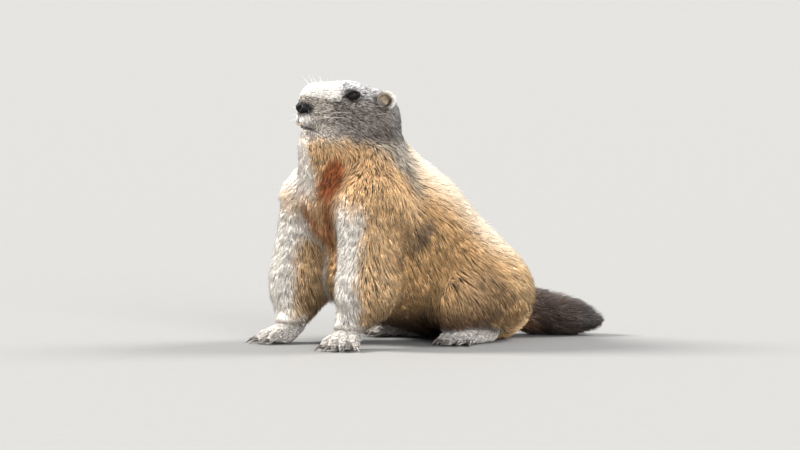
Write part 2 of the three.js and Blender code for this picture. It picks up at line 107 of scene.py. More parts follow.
# %% Limbs and how they join
class Limb:
    """A tapered oval between two points, rounded at its ends, or flatter where full is under 1."""

    def __init__(self, start, end, wide, deep=None, side=(1, 0, 0), full=1.0):
        self.start, end = np.array(start, float), np.array(end, float)
        self.length = np.linalg.norm(end - self.start)
        self.axis = (end - self.start) / self.length
        self.across = unit(np.array(side) - self.axis * np.dot(self.axis, side))
        self.third = np.cross(self.axis, self.across)
        self.wide, self.deep, self.full = wide, wide if deep is None else deep, full
        reach = max(*self.wide, *self.deep) + 34
        self.low = np.minimum(self.start, end) - reach
        self.high = np.maximum(self.start, end) + reach

    def at(self, x, y, z):
        """Distance times (1 - 1/share), where share is how many half sizes away the point is."""
        d = (x - self.start[0], y - self.start[1], z - self.start[2])
        along, sideways, other = (
            d[0] * a[0] + d[1] * a[1] + d[2] * a[2] for a in (self.axis, self.across, self.third)
        )
        t = np.clip(along / self.length, 0, 1)
        over = along - t * self.length
        half_wide = self.wide[0] + (self.wide[1] - self.wide[0]) * t
        half_deep = self.deep[0] + (self.deep[1] - self.deep[0]) * t
        cap = self.full * (half_wide + half_deep) / 2
        share = np.sqrt((sideways / half_wide) ** 2 + (other / half_deep) ** 2 + (over / cap) ** 2)
        reach = np.sqrt(sideways**2 + other**2 + over**2)
        return reach * (1 - 1 / np.maximum(share, 1e-3))

    def sample(self, xs, ys, zs):
        """The field on a grid, worked out only near the limb and FAR elsewhere."""
        values = np.full((len(xs), len(ys), len(zs)), FAR, np.float32)
        near = [
            slice(*np.searchsorted(line, (low, high)))
            for line, low, high in zip((xs, ys, zs), self.low, self.high)
        ]
        x, y, z = xs[near[0]], ys[near[1]], zs[near[2]]
        values[tuple(near)] = self.at(x[:, None, None], y[None, :, None], z[None, None, :])
        return values


class Joined:
    """Forms that run into each other: the lesser distance, rounded where two are within softness."""

    def __init__(self, softness, *forms):
        self.softness, self.forms = softness, forms

    def blend(self, parts):
        """Two at a time: min(a, b) - h^2 softness / 4, where h = 1 - |a - b| / softness, at least 0."""
        total = None
        for part in parts:
            if total is None:
                total = part
                continue
            h = np.maximum(self.softness - np.abs(total - part), 0) / self.softness
            total = np.minimum(total, part) - h * h * self.softness / 4
        return total

    def at(self, x, y, z):
        """The field at points."""
        return self.blend(form.at(x, y, z) for form in self.forms)

    def sample(self, xs, ys, zs):
        """The field on a grid."""
        return self.blend(form.sample(xs, ys, zs) for form in self.forms)


# %% The head's own frame: forward, left and top about the middle of the skull
SKULL = np.array([-7, -107, 266], float)
yaw, pitch = np.radians(13), np.radians(9)
FORWARD = np.array([-np.sin(yaw) * np.cos(pitch), -np.cos(yaw) * np.cos(pitch), np.sin(pitch)])
LEFT = np.array([np.cos(yaw), -np.sin(yaw), 0])
TOP = np.cross(FORWARD, LEFT)


def on_head(forward, left, top):
    """A place on the head, in millimetres forward, left and up of the skull's middle."""
    forward, left, top = (np.asarray(v, float)[..., None] for v in (forward, left, top))
    return SKULL + forward * FORWARD + left * LEFT + top * TOP


def head_place(p):
    """The inverse of on_head: how far forward, left and up a point is."""
    d = p - SKULL
    return d @ FORWARD, d @ LEFT, d @ TOP


# %% Trunk, neck, head, legs and tail
trunk = Joined(
    24,
    Limb([0, 56, 52], [0, 28, 72], [78, 84], [56, 64]),
    Limb([0, 28, 72], [0, -34, 114], [84, 80], [64, 74]),
    Limb([0, -42, 122], [0, -88, 164], [78, 70], [80, 72]),
    Limb([0, 30, 54], [0, -74, 74], [82, 70], [46, 48]),
)
neck = Limb([0, -98, 172], [-4, -110, 234], [64, 54], [66, 60], full=0.5)


def head_limb(start, end, wide, deep, full=1.0):
    """A limb between two places on the head, its width across the head."""
    return Limb(on_head(*start), on_head(*end), wide, deep, LEFT, full)


head = Joined(
    9,
    head_limb([-26, 0, -1], [4, 0, 2.5], [38, 35], [29, 27]),
    head_limb([4, 0, 3], [39, 0, 2.6], [33, 15.5], [28.5, 23.8], 1.2),
    *(head_limb([-2, s * 22, -14], [-22, s * 26, -18], [21, 25], [22, 25]) for s in (1, -1)),
    *(head_limb([51, s * 5.5, -18], [33, s * 13, -16], [9, 13], [9, 13]) for s in (1, -1)),
    head_limb([12, 0, -29], [39, 0, -34], [19, 10], [14, 8]),
)


def fore_leg(s):
    """Upper arm and forearm; the left elbow is a little further forward."""
    shoulder, elbow = [s * 57, -118, 158], [s * 68, -134 if s > 0 else -131, 68]
    wrist = [s * 58, -152, 24]
    return Joined(14, Limb(shoulder, elbow, [39, 36]), Limb(elbow, wrist, [34, 17]))


def thigh(s):
    """The thigh, from the hip to the folded knee."""
    return Limb([s * 45, 54, 56], [s * 66, -4, 46], [47, 36], [50, 40])


TAIL_PATH = np.array([[0, 100, 44], [8, 134, 29], [26, 168, 22], [48, 192, 18]], float)
TAIL_WIDE, TAIL_DEEP = [25, 28, 26, 15], [25, 25, 21, 14]
tail = Joined(
    14,
    *(
        Limb(TAIL_PATH[i], TAIL_PATH[i + 1], TAIL_WIDE[i : i + 2], TAIL_DEEP[i : i + 2], (1, -0.4, 0))
        for i in range(3)
    ),
)
withers = Joined(10, *(Limb([s * 46, -104, 206], [s * 60, -116, 160], [24, 38]) for s in (1, -1)))
legs = [fore_leg(1), fore_leg(-1), thigh(1), thigh(-1)]
flesh = Joined(14, Joined(26, trunk, withers), neck, head, *legs)
body = Joined(14, flesh, tail)


# %% Hands and hind feet, each with its digits
def foot_frame(s, root, turned_out):
    """Places on a foot: ahead along it, out from the body, and up."""
    c, d = np.cos(turned_out), np.sin(turned_out)
    return lambda ahead, out, up: np.array(
        [root[0] + s * (out * c + ahead * d), root[1] - ahead * c + out * d, up], float
    )


def digit_joints(place, knuckle, splay, length):
    """Four joints of a finger or toe, arched a little, its end low on the floor."""
    ahead, out, up = knuckle
    shares, heights = (-0.35, 0.2, 0.62, 1), (up - 1, up + 1, up - 1.5, 4.2)
    return [
        place(ahead + np.cos(splay) * length * t, out + np.sin(splay) * length * t, rise)
        for t, rise in zip(shares, heights)
    ]


def chain(points, sizes, side, softness=5):
    """Limbs one after another through some points, with a (wide, deep) pair at each."""
    pairs = zip(points[:-1], points[1:], sizes[:-1], sizes[1:])
    limbs = [Limb(a, b, (m[0], n[0]), (m[1], n[1]), side) for a, b, m, n in pairs]
    return Joined(softness, *limbs)


def foot(s, root, turned_out, pad, pad_sizes, digits, size):
    """A foot as one form, and the joints of its digits for the claws."""
    place = foot_frame(s, root, turned_out)
    side = unit(place(0, s, 0) - place(0, 0, 0))
    joints = [digit_joints(place, *d) for d in digits]
    digit_sizes = [(size * share, size * share * 0.95) for share in (1, 1.02, 0.9, 0.66)]
    toes = [chain(j, digit_sizes, side, 2) for j in joints]
    palm = chain([place(*p) for p in pad], pad_sizes, side)
    return Joined(2.5, palm, *toes), joints


hands, feet, digits = {}, {}, {}
for name, s in SIDES.items():
    hands[name], digits[name, "fore"] = foot(
        s,
        [s * 58, -152],
        0.55 if s > 0 else 0.2,
        [[-6, 0, 36], [-2, 0, 24], [6, 0, 14], [15, 0, 10], [24, 1, 8]],
        [[16, 15], [16, 14], [15.5, 12], [16.5, 10], [14, 6.5]],
        [
            ([18 - abs(i - 1.2) * 1.5, (i - 1.5) * 7.8, 11], splay, length)
            for i, (splay, length) in enumerate([(-0.34, 21), (-0.08, 25), (0.2, 24), (0.62, 20)])
        ],
        5.8,
    )
    feet[name], digits[name, "hind"] = foot(
        s,
        [s * 62, 36],
        0.3,
        [[-8, 0, 11], [0, 0, 12], [24, 0, 11], [46, 0, 10], [57, 0, 8]],
        [[8, 8], [13, 12], [15, 12], [18, 10.5], [15, 7]],
        [
            ([50 - abs(i - 2) * 2, (i - 2) * 7.4, 10], splay, length)
            for i, (splay, length) in enumerate(
                [(-0.2, 21), (-0.06, 25), (0.1, 25), (0.28, 23), (0.5, 18)]
            )
        ],
        5.6,
    )
paws = Joined(1, *hands.values(), *feet.values())
print("digits:", {f"{side} {kind}": len(j) for (side, kind), j in digits.items()})


# %% [markdown]
# ## Where the eyes are
# The frame has a box round each eye, and the middle of that box is the eye's centre here. The frame
# lies 1.2 mm ahead of the design, because the whole part was moved onto its own middle.

# %% Find the eyes
EYE_RADIUS = 6.8
SHIFT = np.array([0.0, -1.2, 0.0])


def reach_of(form, start, way, furthest=120.0):
    """How far a ray from inside a form goes until it leaves it, by halving 24 times."""
    near, far = 0.0, furthest
    for _ in range(24):
        middle = (near + far) / 2
        if form.at(*(start + way * middle)) < 0:
            near = middle
        else:
            far = middle
    return near


eyes = {}
for name, s in SIDES.items():
    out = unit(0.25 * FORWARD + s * LEFT + 0.1 * TOP)
    centre = np.mean([np.array(corner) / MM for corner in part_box(f"{name}_eye")], axis=0) - SHIFT
    along = unit(np.cross(TOP, out))
    front = along if np.dot(along, FORWARD) > 0 else -along
    eyes[name] = {"centre": centre, "out": out, "along": along, "front": front}
    eyes[name]["up"] = np.cross(out, along)
print("eye centres, mm:", eyes["left"]["centre"].round(1), eyes["right"]["centre"].round(1))


def to_frame(p):
    """Millimetres in the design frame to metres in the shared one."""
    return (p + SHIFT) * MM


# %% [markdown]
# ## Meshes from arrays
# Every piece below is worked out as whole arrays and put into Blender in one go. A finished piece
# rides on the one body, and its object stays at the origin, with its place in its mesh.

# %% Put arrays into a mesh
def make_piece(name, points, faces, smooth=True):
    """A mesh object from points in metres and rows of 3 or 4 corners, riding on the body."""
    mesh = bpy.data.meshes.new(name)
    corners = faces.shape[1]
    mesh.vertices.add(len(points))
    mesh.vertices.foreach_set("co", np.ascontiguousarray(points, np.float32).ravel())
    mesh.loops.add(faces.size)
    mesh.loops.foreach_set("vertex_index", np.ascontiguousarray(faces, np.int32).ravel())
    mesh.polygons.add(len(faces))
    mesh.polygons.foreach_set("loop_start", np.arange(0, faces.size, corners, dtype=np.int32))
    mesh.polygons.foreach_set("use_smooth", np.full(len(faces), smooth))
    mesh.update(calc_edges=True)
    mesh.validate()
    piece = bpy.data.objects.new(name, mesh)
    bpy.context.scene.collection.objects.link(piece)
    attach(piece, "root")
    return piece


def grid_faces(rows, columns, closed=True):
    """Quads between neighbouring points of a grid, the columns joined end to end if closed."""
    row = np.arange(rows - 1)[:, None] * columns
    column = np.arange(columns if closed else columns - 1)[None, :]
    nxt = (column + 1) % columns
    quads = np.stack([row + column, row + nxt, row + columns + nxt, row + columns + column], -1)
    return quads.reshape(-1, 4)


def swept_tube(path, radii, sides=10):
    """Points and faces of a round tube along a path, its ends open, so its radii end near 0.

    Each ring is the path's point plus radius times (cos a, sin a) across the path."""
    path, radii = np.asarray(path, float), np.asarray(radii, float)
    along = unit(np.gradient(path, axis=0))
    across = unit(np.cross(along, np.where(np.abs(along[:, 2:]) > 0.9, [1.0, 0, 0], [0, 0, 1.0])))
    up = np.cross(along, across)
    a = np.linspace(0, 2 * np.pi, sides, endpoint=False)
    ring = np.cos(a)[None, :, None] * across[:, None] + np.sin(a)[None, :, None] * up[:, None]
    points = path[:, None] + radii[:, None, None] * ring
    return points.reshape(-1, 3), grid_faces(len(path), sides)[:, ::-1]


def joined_pieces(parts):
    """Several (points, faces) as one, with the corner numbers moved on."""
    starts = np.cumsum([0] + [len(points) for points, _ in parts[:-1]])
    faces = [part_faces + start for (_, part_faces), start in zip(parts, starts)]
    return np.concatenate([points for points, _ in parts]), np.concatenate(faces)


# %% [markdown]
# ## The line of the mouth
# The lips meet in a line that runs round the muzzle, with a split up to the nose. Both are found on
# the muzzle by following rays out of the head, and the coat is parted along them by a shallow groove.

# %% Where the lips and their split run
def on_muzzle(start, ways, depth):
    """The places where rays from inside the head come to this depth under its outline."""
    return np.array([start + w * (reach_of(flesh, start, w) - depth) for w in unit(ways)])


def lip_curve(depth, reach_back=1.35, points=25):
    """The mouth line: rays fanned out by an angle a from the head, sinking by a^2 to each side."""
    a = np.linspace(-reach_back, reach_back, points)[:, None]
    ways = np.cos(a) * FORWARD + np.sin(a) * LEFT - (0.02 + 0.10 * a**2) * TOP
    return on_muzzle(on_head(31, 0, -26.5), ways, depth)


def split_curve(depth, points=9):
    """The split of the upper lip: rays ahead in the middle plane, from under the nose to the mouth."""
    tops = np.linspace(-10.5, -26.5, points)
    return np.array([on_muzzle(on_head(31, 0, t), FORWARD[None], depth)[0] for t in tops])


mouth_points = np.concatenate([lip_curve(0.0, points=41), split_curve(0.0, 15)])
print("mouth line from", mouth_points.min(axis=0).round(1), "to", mouth_points.max(axis=0).round(1))


def mouth_groove(p):
    """How much deeper the outline is near the mouth: 2.4 exp(-(d/2)^2), in millimetres."""
    shape = p.shape[:-1]
    rows = p.reshape(-1, 3)
    near = np.flatnonzero(np.linalg.norm(rows - on_head(46, 0, -22), axis=1) < 36)
    away = np.full(len(rows), FAR)
    away[near] = np.min(np.linalg.norm(rows[near, None] - mouth_points[None], axis=2), axis=1)
    return (2.4 * np.exp(-((away / 2.0) ** 2))).reshape(shape)


# %% [markdown]
# ## One skin
# The skin lies inside the outline by the depth of the coat, which is deep on the back and tail and
# almost nothing on the nose and feet. A surface net finds where the field is zero: one point in each
# small box of a grid that the surface crosses. The grid is fine over the head and coarse elsewhere.

# %% How deep the coat is at each place
def near_paws(x, y, z):
    """1 over the hands and hind feet, fading out above the wrists and heels."""
    return 1 - ramp(paws.at(x, y, z), 0.5, 7.0)


def head_share(p):
    """1 on the head, 0 on the neck, fading across the throat."""
    forward, _, top = head_place(p)
    return ramp(top + 0.25 * forward, -46, -26)


def tail_share(p):
    """0 on the rump, 1 from a little way along the tail."""
    return ramp(p[..., 1] + 0.2 * p[..., 0], 92, 122)


def coat_depth(p):
    """Millimetres from the skin to the outside of the coat."""
    forward, _, _ = head_place(p)
    deep = 8.0 + 2.5 * tail_share(p)
    face = 4.4 - 2.6 * ramp(forward, -5, 45)
    deep = deep + (face - deep) * head_share(p)
    for eye in eyes.values():
        away = np.linalg.norm(p - eye["centre"], axis=-1)
        deep = deep + (1.3 - deep) * (1 - ramp(away, 9, 19))
    return deep


# %% Surface net on a grid whose lines may be uneven
def surface_net(values, lines):
    """One point in each box that the zero surface crosses, at the mean of its edges' crossings."""
    inside = values < 0
    count = np.zeros(np.array(values.shape) - 1, np.int8)
    shape = count.shape
    for i in (0, 1):
        for j in (0, 1):
            for k in (0, 1):
                count += inside[i : shape[0] + i, j : shape[1] + j, k : shape[2] + k]
    box = np.argwhere((count > 0) & (count < 8))
    number = np.full(shape, -1, np.int32)
    number[tuple(box.T)] = np.arange(len(box))
    total, hits = np.zeros((len(box), 3)), np.zeros(len(box))
    for axis in range(3):
        u, v = (axis + 1) % 3, (axis + 2) % 3
        for du, dv in ((0, 0), (1, 0), (0, 1), (1, 1)):
            first = box.copy()
            first[:, u] += du
            first[:, v] += dv
            second = first.copy()
            second[:, axis] += 1
            a, b = values[tuple(first.T)], values[tuple(second.T)]
            crossed = (a < 0) != (b < 0)
            share = np.where(crossed, a / np.where(crossed, a - b, 1), 0)
            place = np.stack([lines[n][first[:, n]] for n in range(3)], -1)
            place[:, axis] += share * (lines[axis][second[:, axis]] - lines[axis][first[:, axis]])
            total += place * crossed[:, None]
            hits += crossed
    quads = []
    for axis in range(3):
        u, v = (axis + 1) % 3, (axis + 2) % 3
        start = [slice(None)] * 3
        end = [slice(None)] * 3
        start[axis], end[axis] = slice(0, -1), slice(1, None)
        edge = np.argwhere(inside[tuple(start)] != inside[tuple(end)])
        edge = edge[(edge[:, u] > 0) & (edge[:, v] > 0)]
        edge = edge[(edge[:, u] < shape[u]) & (edge[:, v] < shape[v])]
        cells = []
        for du, dv in ((0, 0), (1, 0), (1, 1), (0, 1)):
            cell = edge.copy()
            cell[:, u] -= du
            cell[:, v] -= dv
            cells.append(number[tuple(cell.T)])
        quad = np.stack(cells, -1)
        outward = inside[tuple(edge.T)]
        quads.append(np.where(outward[:, None], quad, quad[:, ::-1]))
    return total / hits[:, None], np.concatenate(quads)


def uneven(low, high, fine_low, fine_high, fine, coarse):
    """Grid lines from low to high, fine between two places and coarse outside them."""
    return np.concatenate(
        [
            np.arange(low, fine_low, coarse),
            np.arange(fine_low, fine_high, fine),
            np.arange(fine_high, high + coarse, coarse),
        ]
    )


# %% Make the skin
FINE, COARSE = 2.0, 4.2
grid_lines = (
    uneven(-122, 122, -58, 46, FINE, COARSE),
    uneven(-212, 216, -180, -60, FINE, COARSE),
    uneven(-1, 316, 222, 308, FINE, COARSE),
)
cubes = np.stack(np.meshgrid(*grid_lines, indexing="ij"), -1)
skin_values = body.sample(*grid_lines) + (coat_depth(cubes) + mouth_groove(cubes)).astype(np.float32)
paw_values = paws.sample(*grid_lines) + 0.8
h = np.maximum(6 - np.abs(skin_values - paw_values), 0) / 6
skin_values = np.minimum(skin_values, paw_values) - h * h * 1.5
for eye in eyes.values():
    away = np.linalg.norm(cubes - eye["centre"], axis=-1)
    skin_values = np.maximum(skin_values, EYE_RADIUS + 0.2 - away)
skin_values = np.maximum(skin_values, 0.6 - cubes[..., 2])
skin_points, skin_faces = surface_net(skin_values, grid_lines)
print("skin:", len(skin_points), "points", len(skin_faces), "faces")

# %% Smooth it and find its normals
def smoothed(points, faces, rounds, share=0.5):
    """Each point moved part of the way to the mean of its neighbours, a few times."""
    edges = np.concatenate([faces[:, [i, (i + 1) % faces.shape[1]]] for i in range(faces.shape[1])])
    count = np.bincount(edges.ravel(), minlength=len(points))[:, None]
    for _ in range(rounds):
        total = np.zeros_like(points)
        for axis in range(3):
            total[:, axis] = np.bincount(edges[:, 0], points[edges[:, 1], axis], len(points))
            total[:, axis] += np.bincount(edges[:, 1], points[edges[:, 0], axis], len(points))
        points = points + share * (total / count - points)
    return points


def outline_at(p):
    """The field of the whole animal, with its paws, at rows of points."""
    x, y, z = p.T
    return np.minimum(body.at(x, y, z) + mouth_groove(p), paws.at(x, y, z))


def slope_at(p, step=1.5):
    """The way out of the body at rows of points: the field's gradient, of length one."""
    moves = np.eye(3) * step
    return unit(np.stack([outline_at(p + m) - outline_at(p - m) for m in moves], -1))


skin_points = smoothed(skin_points, skin_faces, 2)
skin_normals = slope_at(skin_points)
print("skin size, mm:", np.ptp(skin_points, axis=0).round(1))

# %% [markdown]
# ## Noise from tables
# Hair is never even. Two kinds of unevenness are enough: a soft one, which bends whole areas a
# little, and a cellular one, which says which tufts belong to the same lock.

# %% Soft noise and scattered centres
TABLE = rng.random((32, 32, 32, 3))


def soft_noise(p, size, seed=0):
    """Three smooth random numbers from -1 to 1 for each point, changing over size millimetres."""
    q = p / size + seed * 7.3
    cell = np.floor(q).astype(int)
    part = q - cell
    part = part * part * (3 - 2 * part)
    total = np.zeros((len(p), 3))
    for corner in np.ndindex(2, 2, 2):
        weight = np.prod(np.where(corner, part, 1 - part), axis=1)
        total += weight[:, None] * TABLE[tuple(((cell + corner) % 32).T)]
    return total * 2 - 1


def lock_of(p, size):
    """The nearest of some scattered centres, one to each box of a lattice, and its random numbers."""
    q = p / size
    cell = np.floor(q).astype(int)
    nearest = np.full(len(p), np.inf)
    centre, chance = np.zeros((len(p), 3)), np.zeros((len(p), 3))
    for step in np.ndindex(3, 3, 3):
        box = cell + step - 1
        place = box + TABLE[tuple((box % 32).T)]
        away = np.sum((q - place) ** 2, axis=1)
        closer = away < nearest
        nearest[closer] = away[closer]
        centre[closer] = place[closer]
        chance[closer] = TABLE[tuple(((box[closer] + 11) % 32).T)]
    return centre * size, chance


# %% [markdown]
# ## The lie of the coat
# Hair lies the way water would run off: back from the nose, over the head, down the neck and the
# back, down the legs and out along the tail. A few main directions are weighted by place, then laid
# flat on the skin.

# %% Which way the hair lies at each place
LEG_RIDGE = -118.0


def lie_at(p, n):
    """The direction of the hair: the weighted ways of each part, laid on the skin."""
    x, y, z = p.T
    side = np.sign(x)[:, None] * np.array([1.0, 0, 0])
    up_or_back = ramp(n[:, 2] + 0.8 * n[:, 1], 0.1, 1.0)
    way = mix([0, 0.42, -0.9], [0, 0.79, -0.61], up_or_back)
    front = ramp(-n[:, 1], 0.1, 0.8) * ramp(z, 60, 110)
    way = mix(way, np.array([0, 0.02, -1.0]) + 0.12 * side, front)
    low = 1 - ramp(z, 25, 60)
    way = mix(way, [0, 0.8, -0.35], low * ramp(y, -110, -60))
    for s in (1, -1):
        on_leg = 1 - ramp(fore_leg(s).at(x, y, z), -26, 4)
        from_ridge = y - LEG_RIDGE
        parting = (ramp(np.abs(from_ridge), 4, 44) * np.sign(from_ridge))[:, None]
        fan = [0.02 * s, 0.0, -1.0] + parting * np.array([0, 0.55, 0])
        fan = mix([0.02 * s, 0.05, -1.0], fan, ramp(z, 110, 160))
        way = mix(way, fan, on_leg * ramp(-y, 80, 120))
    from_neck = unit((p - np.array([0, -92, 0])) * [1, 1, 0])
    facing_out = np.sum(n * from_neck, axis=1)
    outward = from_neck * ramp(n[:, 2], -0.1, 0.5)[:, None]
    outward = outward - ramp(facing_out, -0.1, 0.6)[:, None] * np.array([0, 0, 1.0])
    way = mix(way, outward, ramp(z, 146, 172) * ramp(-y, 66, 90))
    forward, left, top = head_place(p)
    sweep = -FORWARD * 1.0 + LEFT * (0.35 * np.sign(left) * ramp(np.abs(left), 0, 12))[:, None]
    sweep = sweep - TOP * (0.75 * ramp(-top, -8, 16) * ramp(np.abs(left), 4, 16))[:, None]
    sweep = sweep - TOP * (1.1 * ramp(-top, 12, 34) * (1 - ramp(np.abs(left), 6, 22)))[:, None]
    nape = (1 - ramp(forward, -48, -18))[:, None]
    sweep = sweep * (1 - nape) + nape * np.array([0, 0.25, -1.0])
    way = mix(way, unit(sweep), head_share(p))
    nearest = np.argmin(np.linalg.norm(p[:, None] - TAIL_PATH[None], axis=2), axis=1)
    along_tail = unit(np.gradient(TAIL_PATH, axis=0))[nearest]
    way = mix(way, along_tail + 0.25 * n, tail_share(p))
    way = mix(way, [0, -1.0, -0.25], near_paws(x, y, z) * (1 - ramp(z, 20, 34)))
    way = unit(way) + 0.14 * soft_noise(p, 34, 1) + 0.10 * soft_noise(p, 13, 2)
    return unit(way - n * np.sum(way * n, axis=1, keepdims=True))


# %% [markdown]
# ## Markings and painted light
# Colours are given once, as a function of the place and of the way the surface faces, and used for
# the skin under the coat and for every hair on it. Most are markings; some are painted highlight on
# lit fronts and tops, and painted shade low on the belly and in a crease. They are written as screen
# colours, the way one picks them, and turned into light values.

# %% The colours and where they are
def light(*rgb):
    """A screen colour, 0 to 255, as linear light: c/12.92 at the dark end, else ((c+.055)/1.055)^2.4."""
    c = np.array(rgb, float) / 255
    return np.where(c <= 0.04045, c / 12.92, ((c + 0.055) / 1.055) ** 2.4)


SILVER, CHEEK, MUZZLE = light(142, 141, 141), light(90, 82, 75), light(142, 133, 123)
# The first colour on the next line is painted highlight, near white, for the lit top and front of the
# snout.
SNOUT_HIGHLIGHT, NAPE, OCHRE = light(244, 238, 230), light(152, 140, 123), light(224, 184, 136)
# The first colour on the next line is the armpit's rust, also used as painted shade in the crease by the
# foreleg.
RUST_AND_CREASE_SHADE, SHOULDER, STREAK = light(160, 88, 40), light(224, 184, 134), light(86, 70, 58)
# The second colour on the next line is painted highlight, pale, for the coat where it faces up and back.
FLANK, BACK_RIM_HIGHLIGHT, HAUNCH = light(222, 180, 126), light(244, 230, 208), light(168, 136, 98)
# The second colour on the next line is painted shade, dark brown, low on the belly near the floor.
RUMP, LOW_BELLY_SHADE, ARM = light(238, 202, 152), light(96, 66, 42), light(226, 190, 144)
# The first colour on the next line is painted highlight, near white, for the lit fronts of the forelegs
# and throat.
FRONT_HIGHLIGHT, HAND, DARK = light(252, 246, 238), light(184, 178, 171), light(34, 30, 29)
TAIL_ROOT, TAIL_MID, TAIL_END = light(124, 86, 56), light(52, 37, 28), light(36, 31, 29)
# The third colour on the next line is painted shade, near black, for the fold in each ear's hollow.
EAR_RIM, EAR_INSIDE, EAR_FOLD_SHADE = light(226, 222, 214), light(186, 168, 142), light(34, 29, 26)
VIEW_SIDE, VIEW_BACK = 0.5736, 0.8192  # the cosine and sine of 55 degrees


def patch(p, centre, radius, soft=0.5):
    """1 within a ball about a place, fading out over the outer part of its radius."""
    return 1 - ramp(np.linalg.norm(p - np.asarray(centre, float), axis=-1), radius * (1 - soft), radius)


def trunk_colour(p, n):
    """Flank, haunch, back, rump, shoulder, the streak behind it, belly and chest, one over another.

    The pale back, where the coat faces up and back, is painted highlight; the dark low on the belly is
    painted shade. The streak is strength * exp(-((y - its line)/11)^2), with both given by height."""
    x, y, z = p.T
    side = np.abs(x)
    colour = mix(FLANK, HAUNCH, patch(p * [0, 1, 1], [0, 10, 52], 62, 0.7) * ramp(side, 20, 60))
    # Painted highlight: where the coat faces up and back, towards the light from behind, it is painted
    # pale.
    colour = mix(colour, BACK_RIM_HIGHLIGHT, ramp(n[:, 2] + 0.9 * n[:, 1], 0.35, 1.15) * ramp(z, 40, 110))
    colour = mix(colour, RUMP, ramp(y + 0.6 * z, 70, 110) * (1 - ramp(z, 70, 120)))
    colour = mix(colour, SHOULDER, ramp(-y, 62, 84) * ramp(z, 90, 130))
    line = np.interp(z, [105, 145, 170, 200], [-78, -54, -66, -82])
    strength = np.interp(z, [100, 114, 138, 154, 178, 190, 206], [0, 1, 1, 0.3, 0.3, 0.8, 0])
    wander = 6 * soft_noise(p, 10, 5)[:, 0]
    streak = np.exp(-(((y - line + wander) / 11) ** 2)) * strength * 0.85
    colour = mix(colour, STREAK, streak * ramp(side, 26, 48))
    # Painted shade: low on the body, near the floor and towards the front, the coat is painted dark
    # brown.
    colour = mix(colour, LOW_BELLY_SHADE, (1 - ramp(z, 18, 56)) * (1 - ramp(y, -10, 40)))
    chest = ramp(-n[:, 1], 0.0, 0.6) * (1 - ramp(side, 26, 46))
    return mix(colour, OCHRE, chest * ramp(z, 60, 110))


def front_colour(colour, p, n):
    """Forelegs and throat, painted highlight on their fronts, the rust armpit and painted crease shade.

    The armpit is an oval, (across/14)^2 + (up/25)^2, and across runs the way a viewer sees it."""
    x, y, z = p.T
    wander = 9 * soft_noise(p, 16, 6)
    for s in (1, -1):
        leg = (1 - ramp(fore_leg(s).at(x, y, z), -4, 14)) * ramp(-y + wander[:, 0], 82, 118)
        colour = mix(colour, ARM, leg * (1 - ramp(z + wander[:, 1], 120, 185)))
        # Painted highlight: where the foreleg faces ahead and to its right, towards the key light, it is
        # painted near white.
        facing = n @ unit(np.array([-0.3, -1.0, 0]))
        front = ramp(facing + 0.008 * wander[:, 2], 0.45, 0.8) * (1 - ramp(z + wander[:, 0], 140, 180))
        colour = mix(colour, FRONT_HIGHLIGHT, leg * front)
    across = VIEW_SIDE * np.abs(x) + VIEW_BACK * y
    up = z - 192
    armpit = ((across + 111 - 0.25 * up) / 14) ** 2 + ((up + 0.4 * wander[:, 1]) / 25) ** 2
    rust = (1 - ramp(armpit, 0.35, 1.5)) * ramp(-y, 112, 128)
    colour = mix(colour, RUST_AND_CREASE_SHADE, rust * mix(0.45, 1.0, ramp(x, -20, 4)))
    # Painted shade: a dark rust line down the crease between the foreleg and the chest.
    crease_shade = np.exp(-(((across + 116) / 7) ** 2)) * ramp(-y, 112, 128)
    colour = mix(colour, RUST_AND_CREASE_SHADE, 0.8 * crease_shade * ramp(z, 60, 90) * (1 - ramp(z, 160, 176)))
    throat = ramp(z, 180, 205) * ramp(-n[:, 1] + 0.4 * np.abs(n[:, 0]), -0.1, 0.6)
    colour = mix(colour, OCHRE, throat * ramp(armpit, 0.5, 1.6))
    # Painted highlight: the throat's front, turned ahead and to the right towards the key light, is
    # painted near white.
    level = n[:, :2] @ unit(np.array([-0.4, -1.0])) / np.maximum(np.hypot(n[:, 0], n[:, 1]), 0.35)
    throat_highlight = ramp(level + 0.01 * wander[:, 1], 0.8, 0.96) * ramp(z, 150, 186) * (1 - ramp(x, -4, 22))
    return mix(colour, FRONT_HIGHLIGHT, 0.9 * throat_highlight)


def face_colour(p):
    """Grizzled cheeks under a silver crown, painted highlight on bridge and lip, grey muzzle and chin."""
    forward, _, top = head_place(p)
    face = mix(CHEEK, SILVER, ramp(top + 3 * soft_noise(p, 7, 7)[:, 0], 4, 30))
    face = mix(face, MUZZLE, ramp(forward, 20, 40))
    # Painted highlight: the lit top of the snout is painted near white.
    face = mix(face, SNOUT_HIGHLIGHT, ramp(forward, 14, 34) * ramp(top, 6, 14))
    face = mix(face, SILVER, ramp(-forward, 30, 46))
    # Painted highlight: the lit front of the muzzle, over the upper lip, is painted pale.
    face = mix(face, SNOUT_HIGHLIGHT, ramp(forward, 44, 58) * ramp(-top, 8, 16) * 0.6)
    return mix(face, MUZZLE, ramp(-top, 28, 34) * ramp(forward, 4, 20))


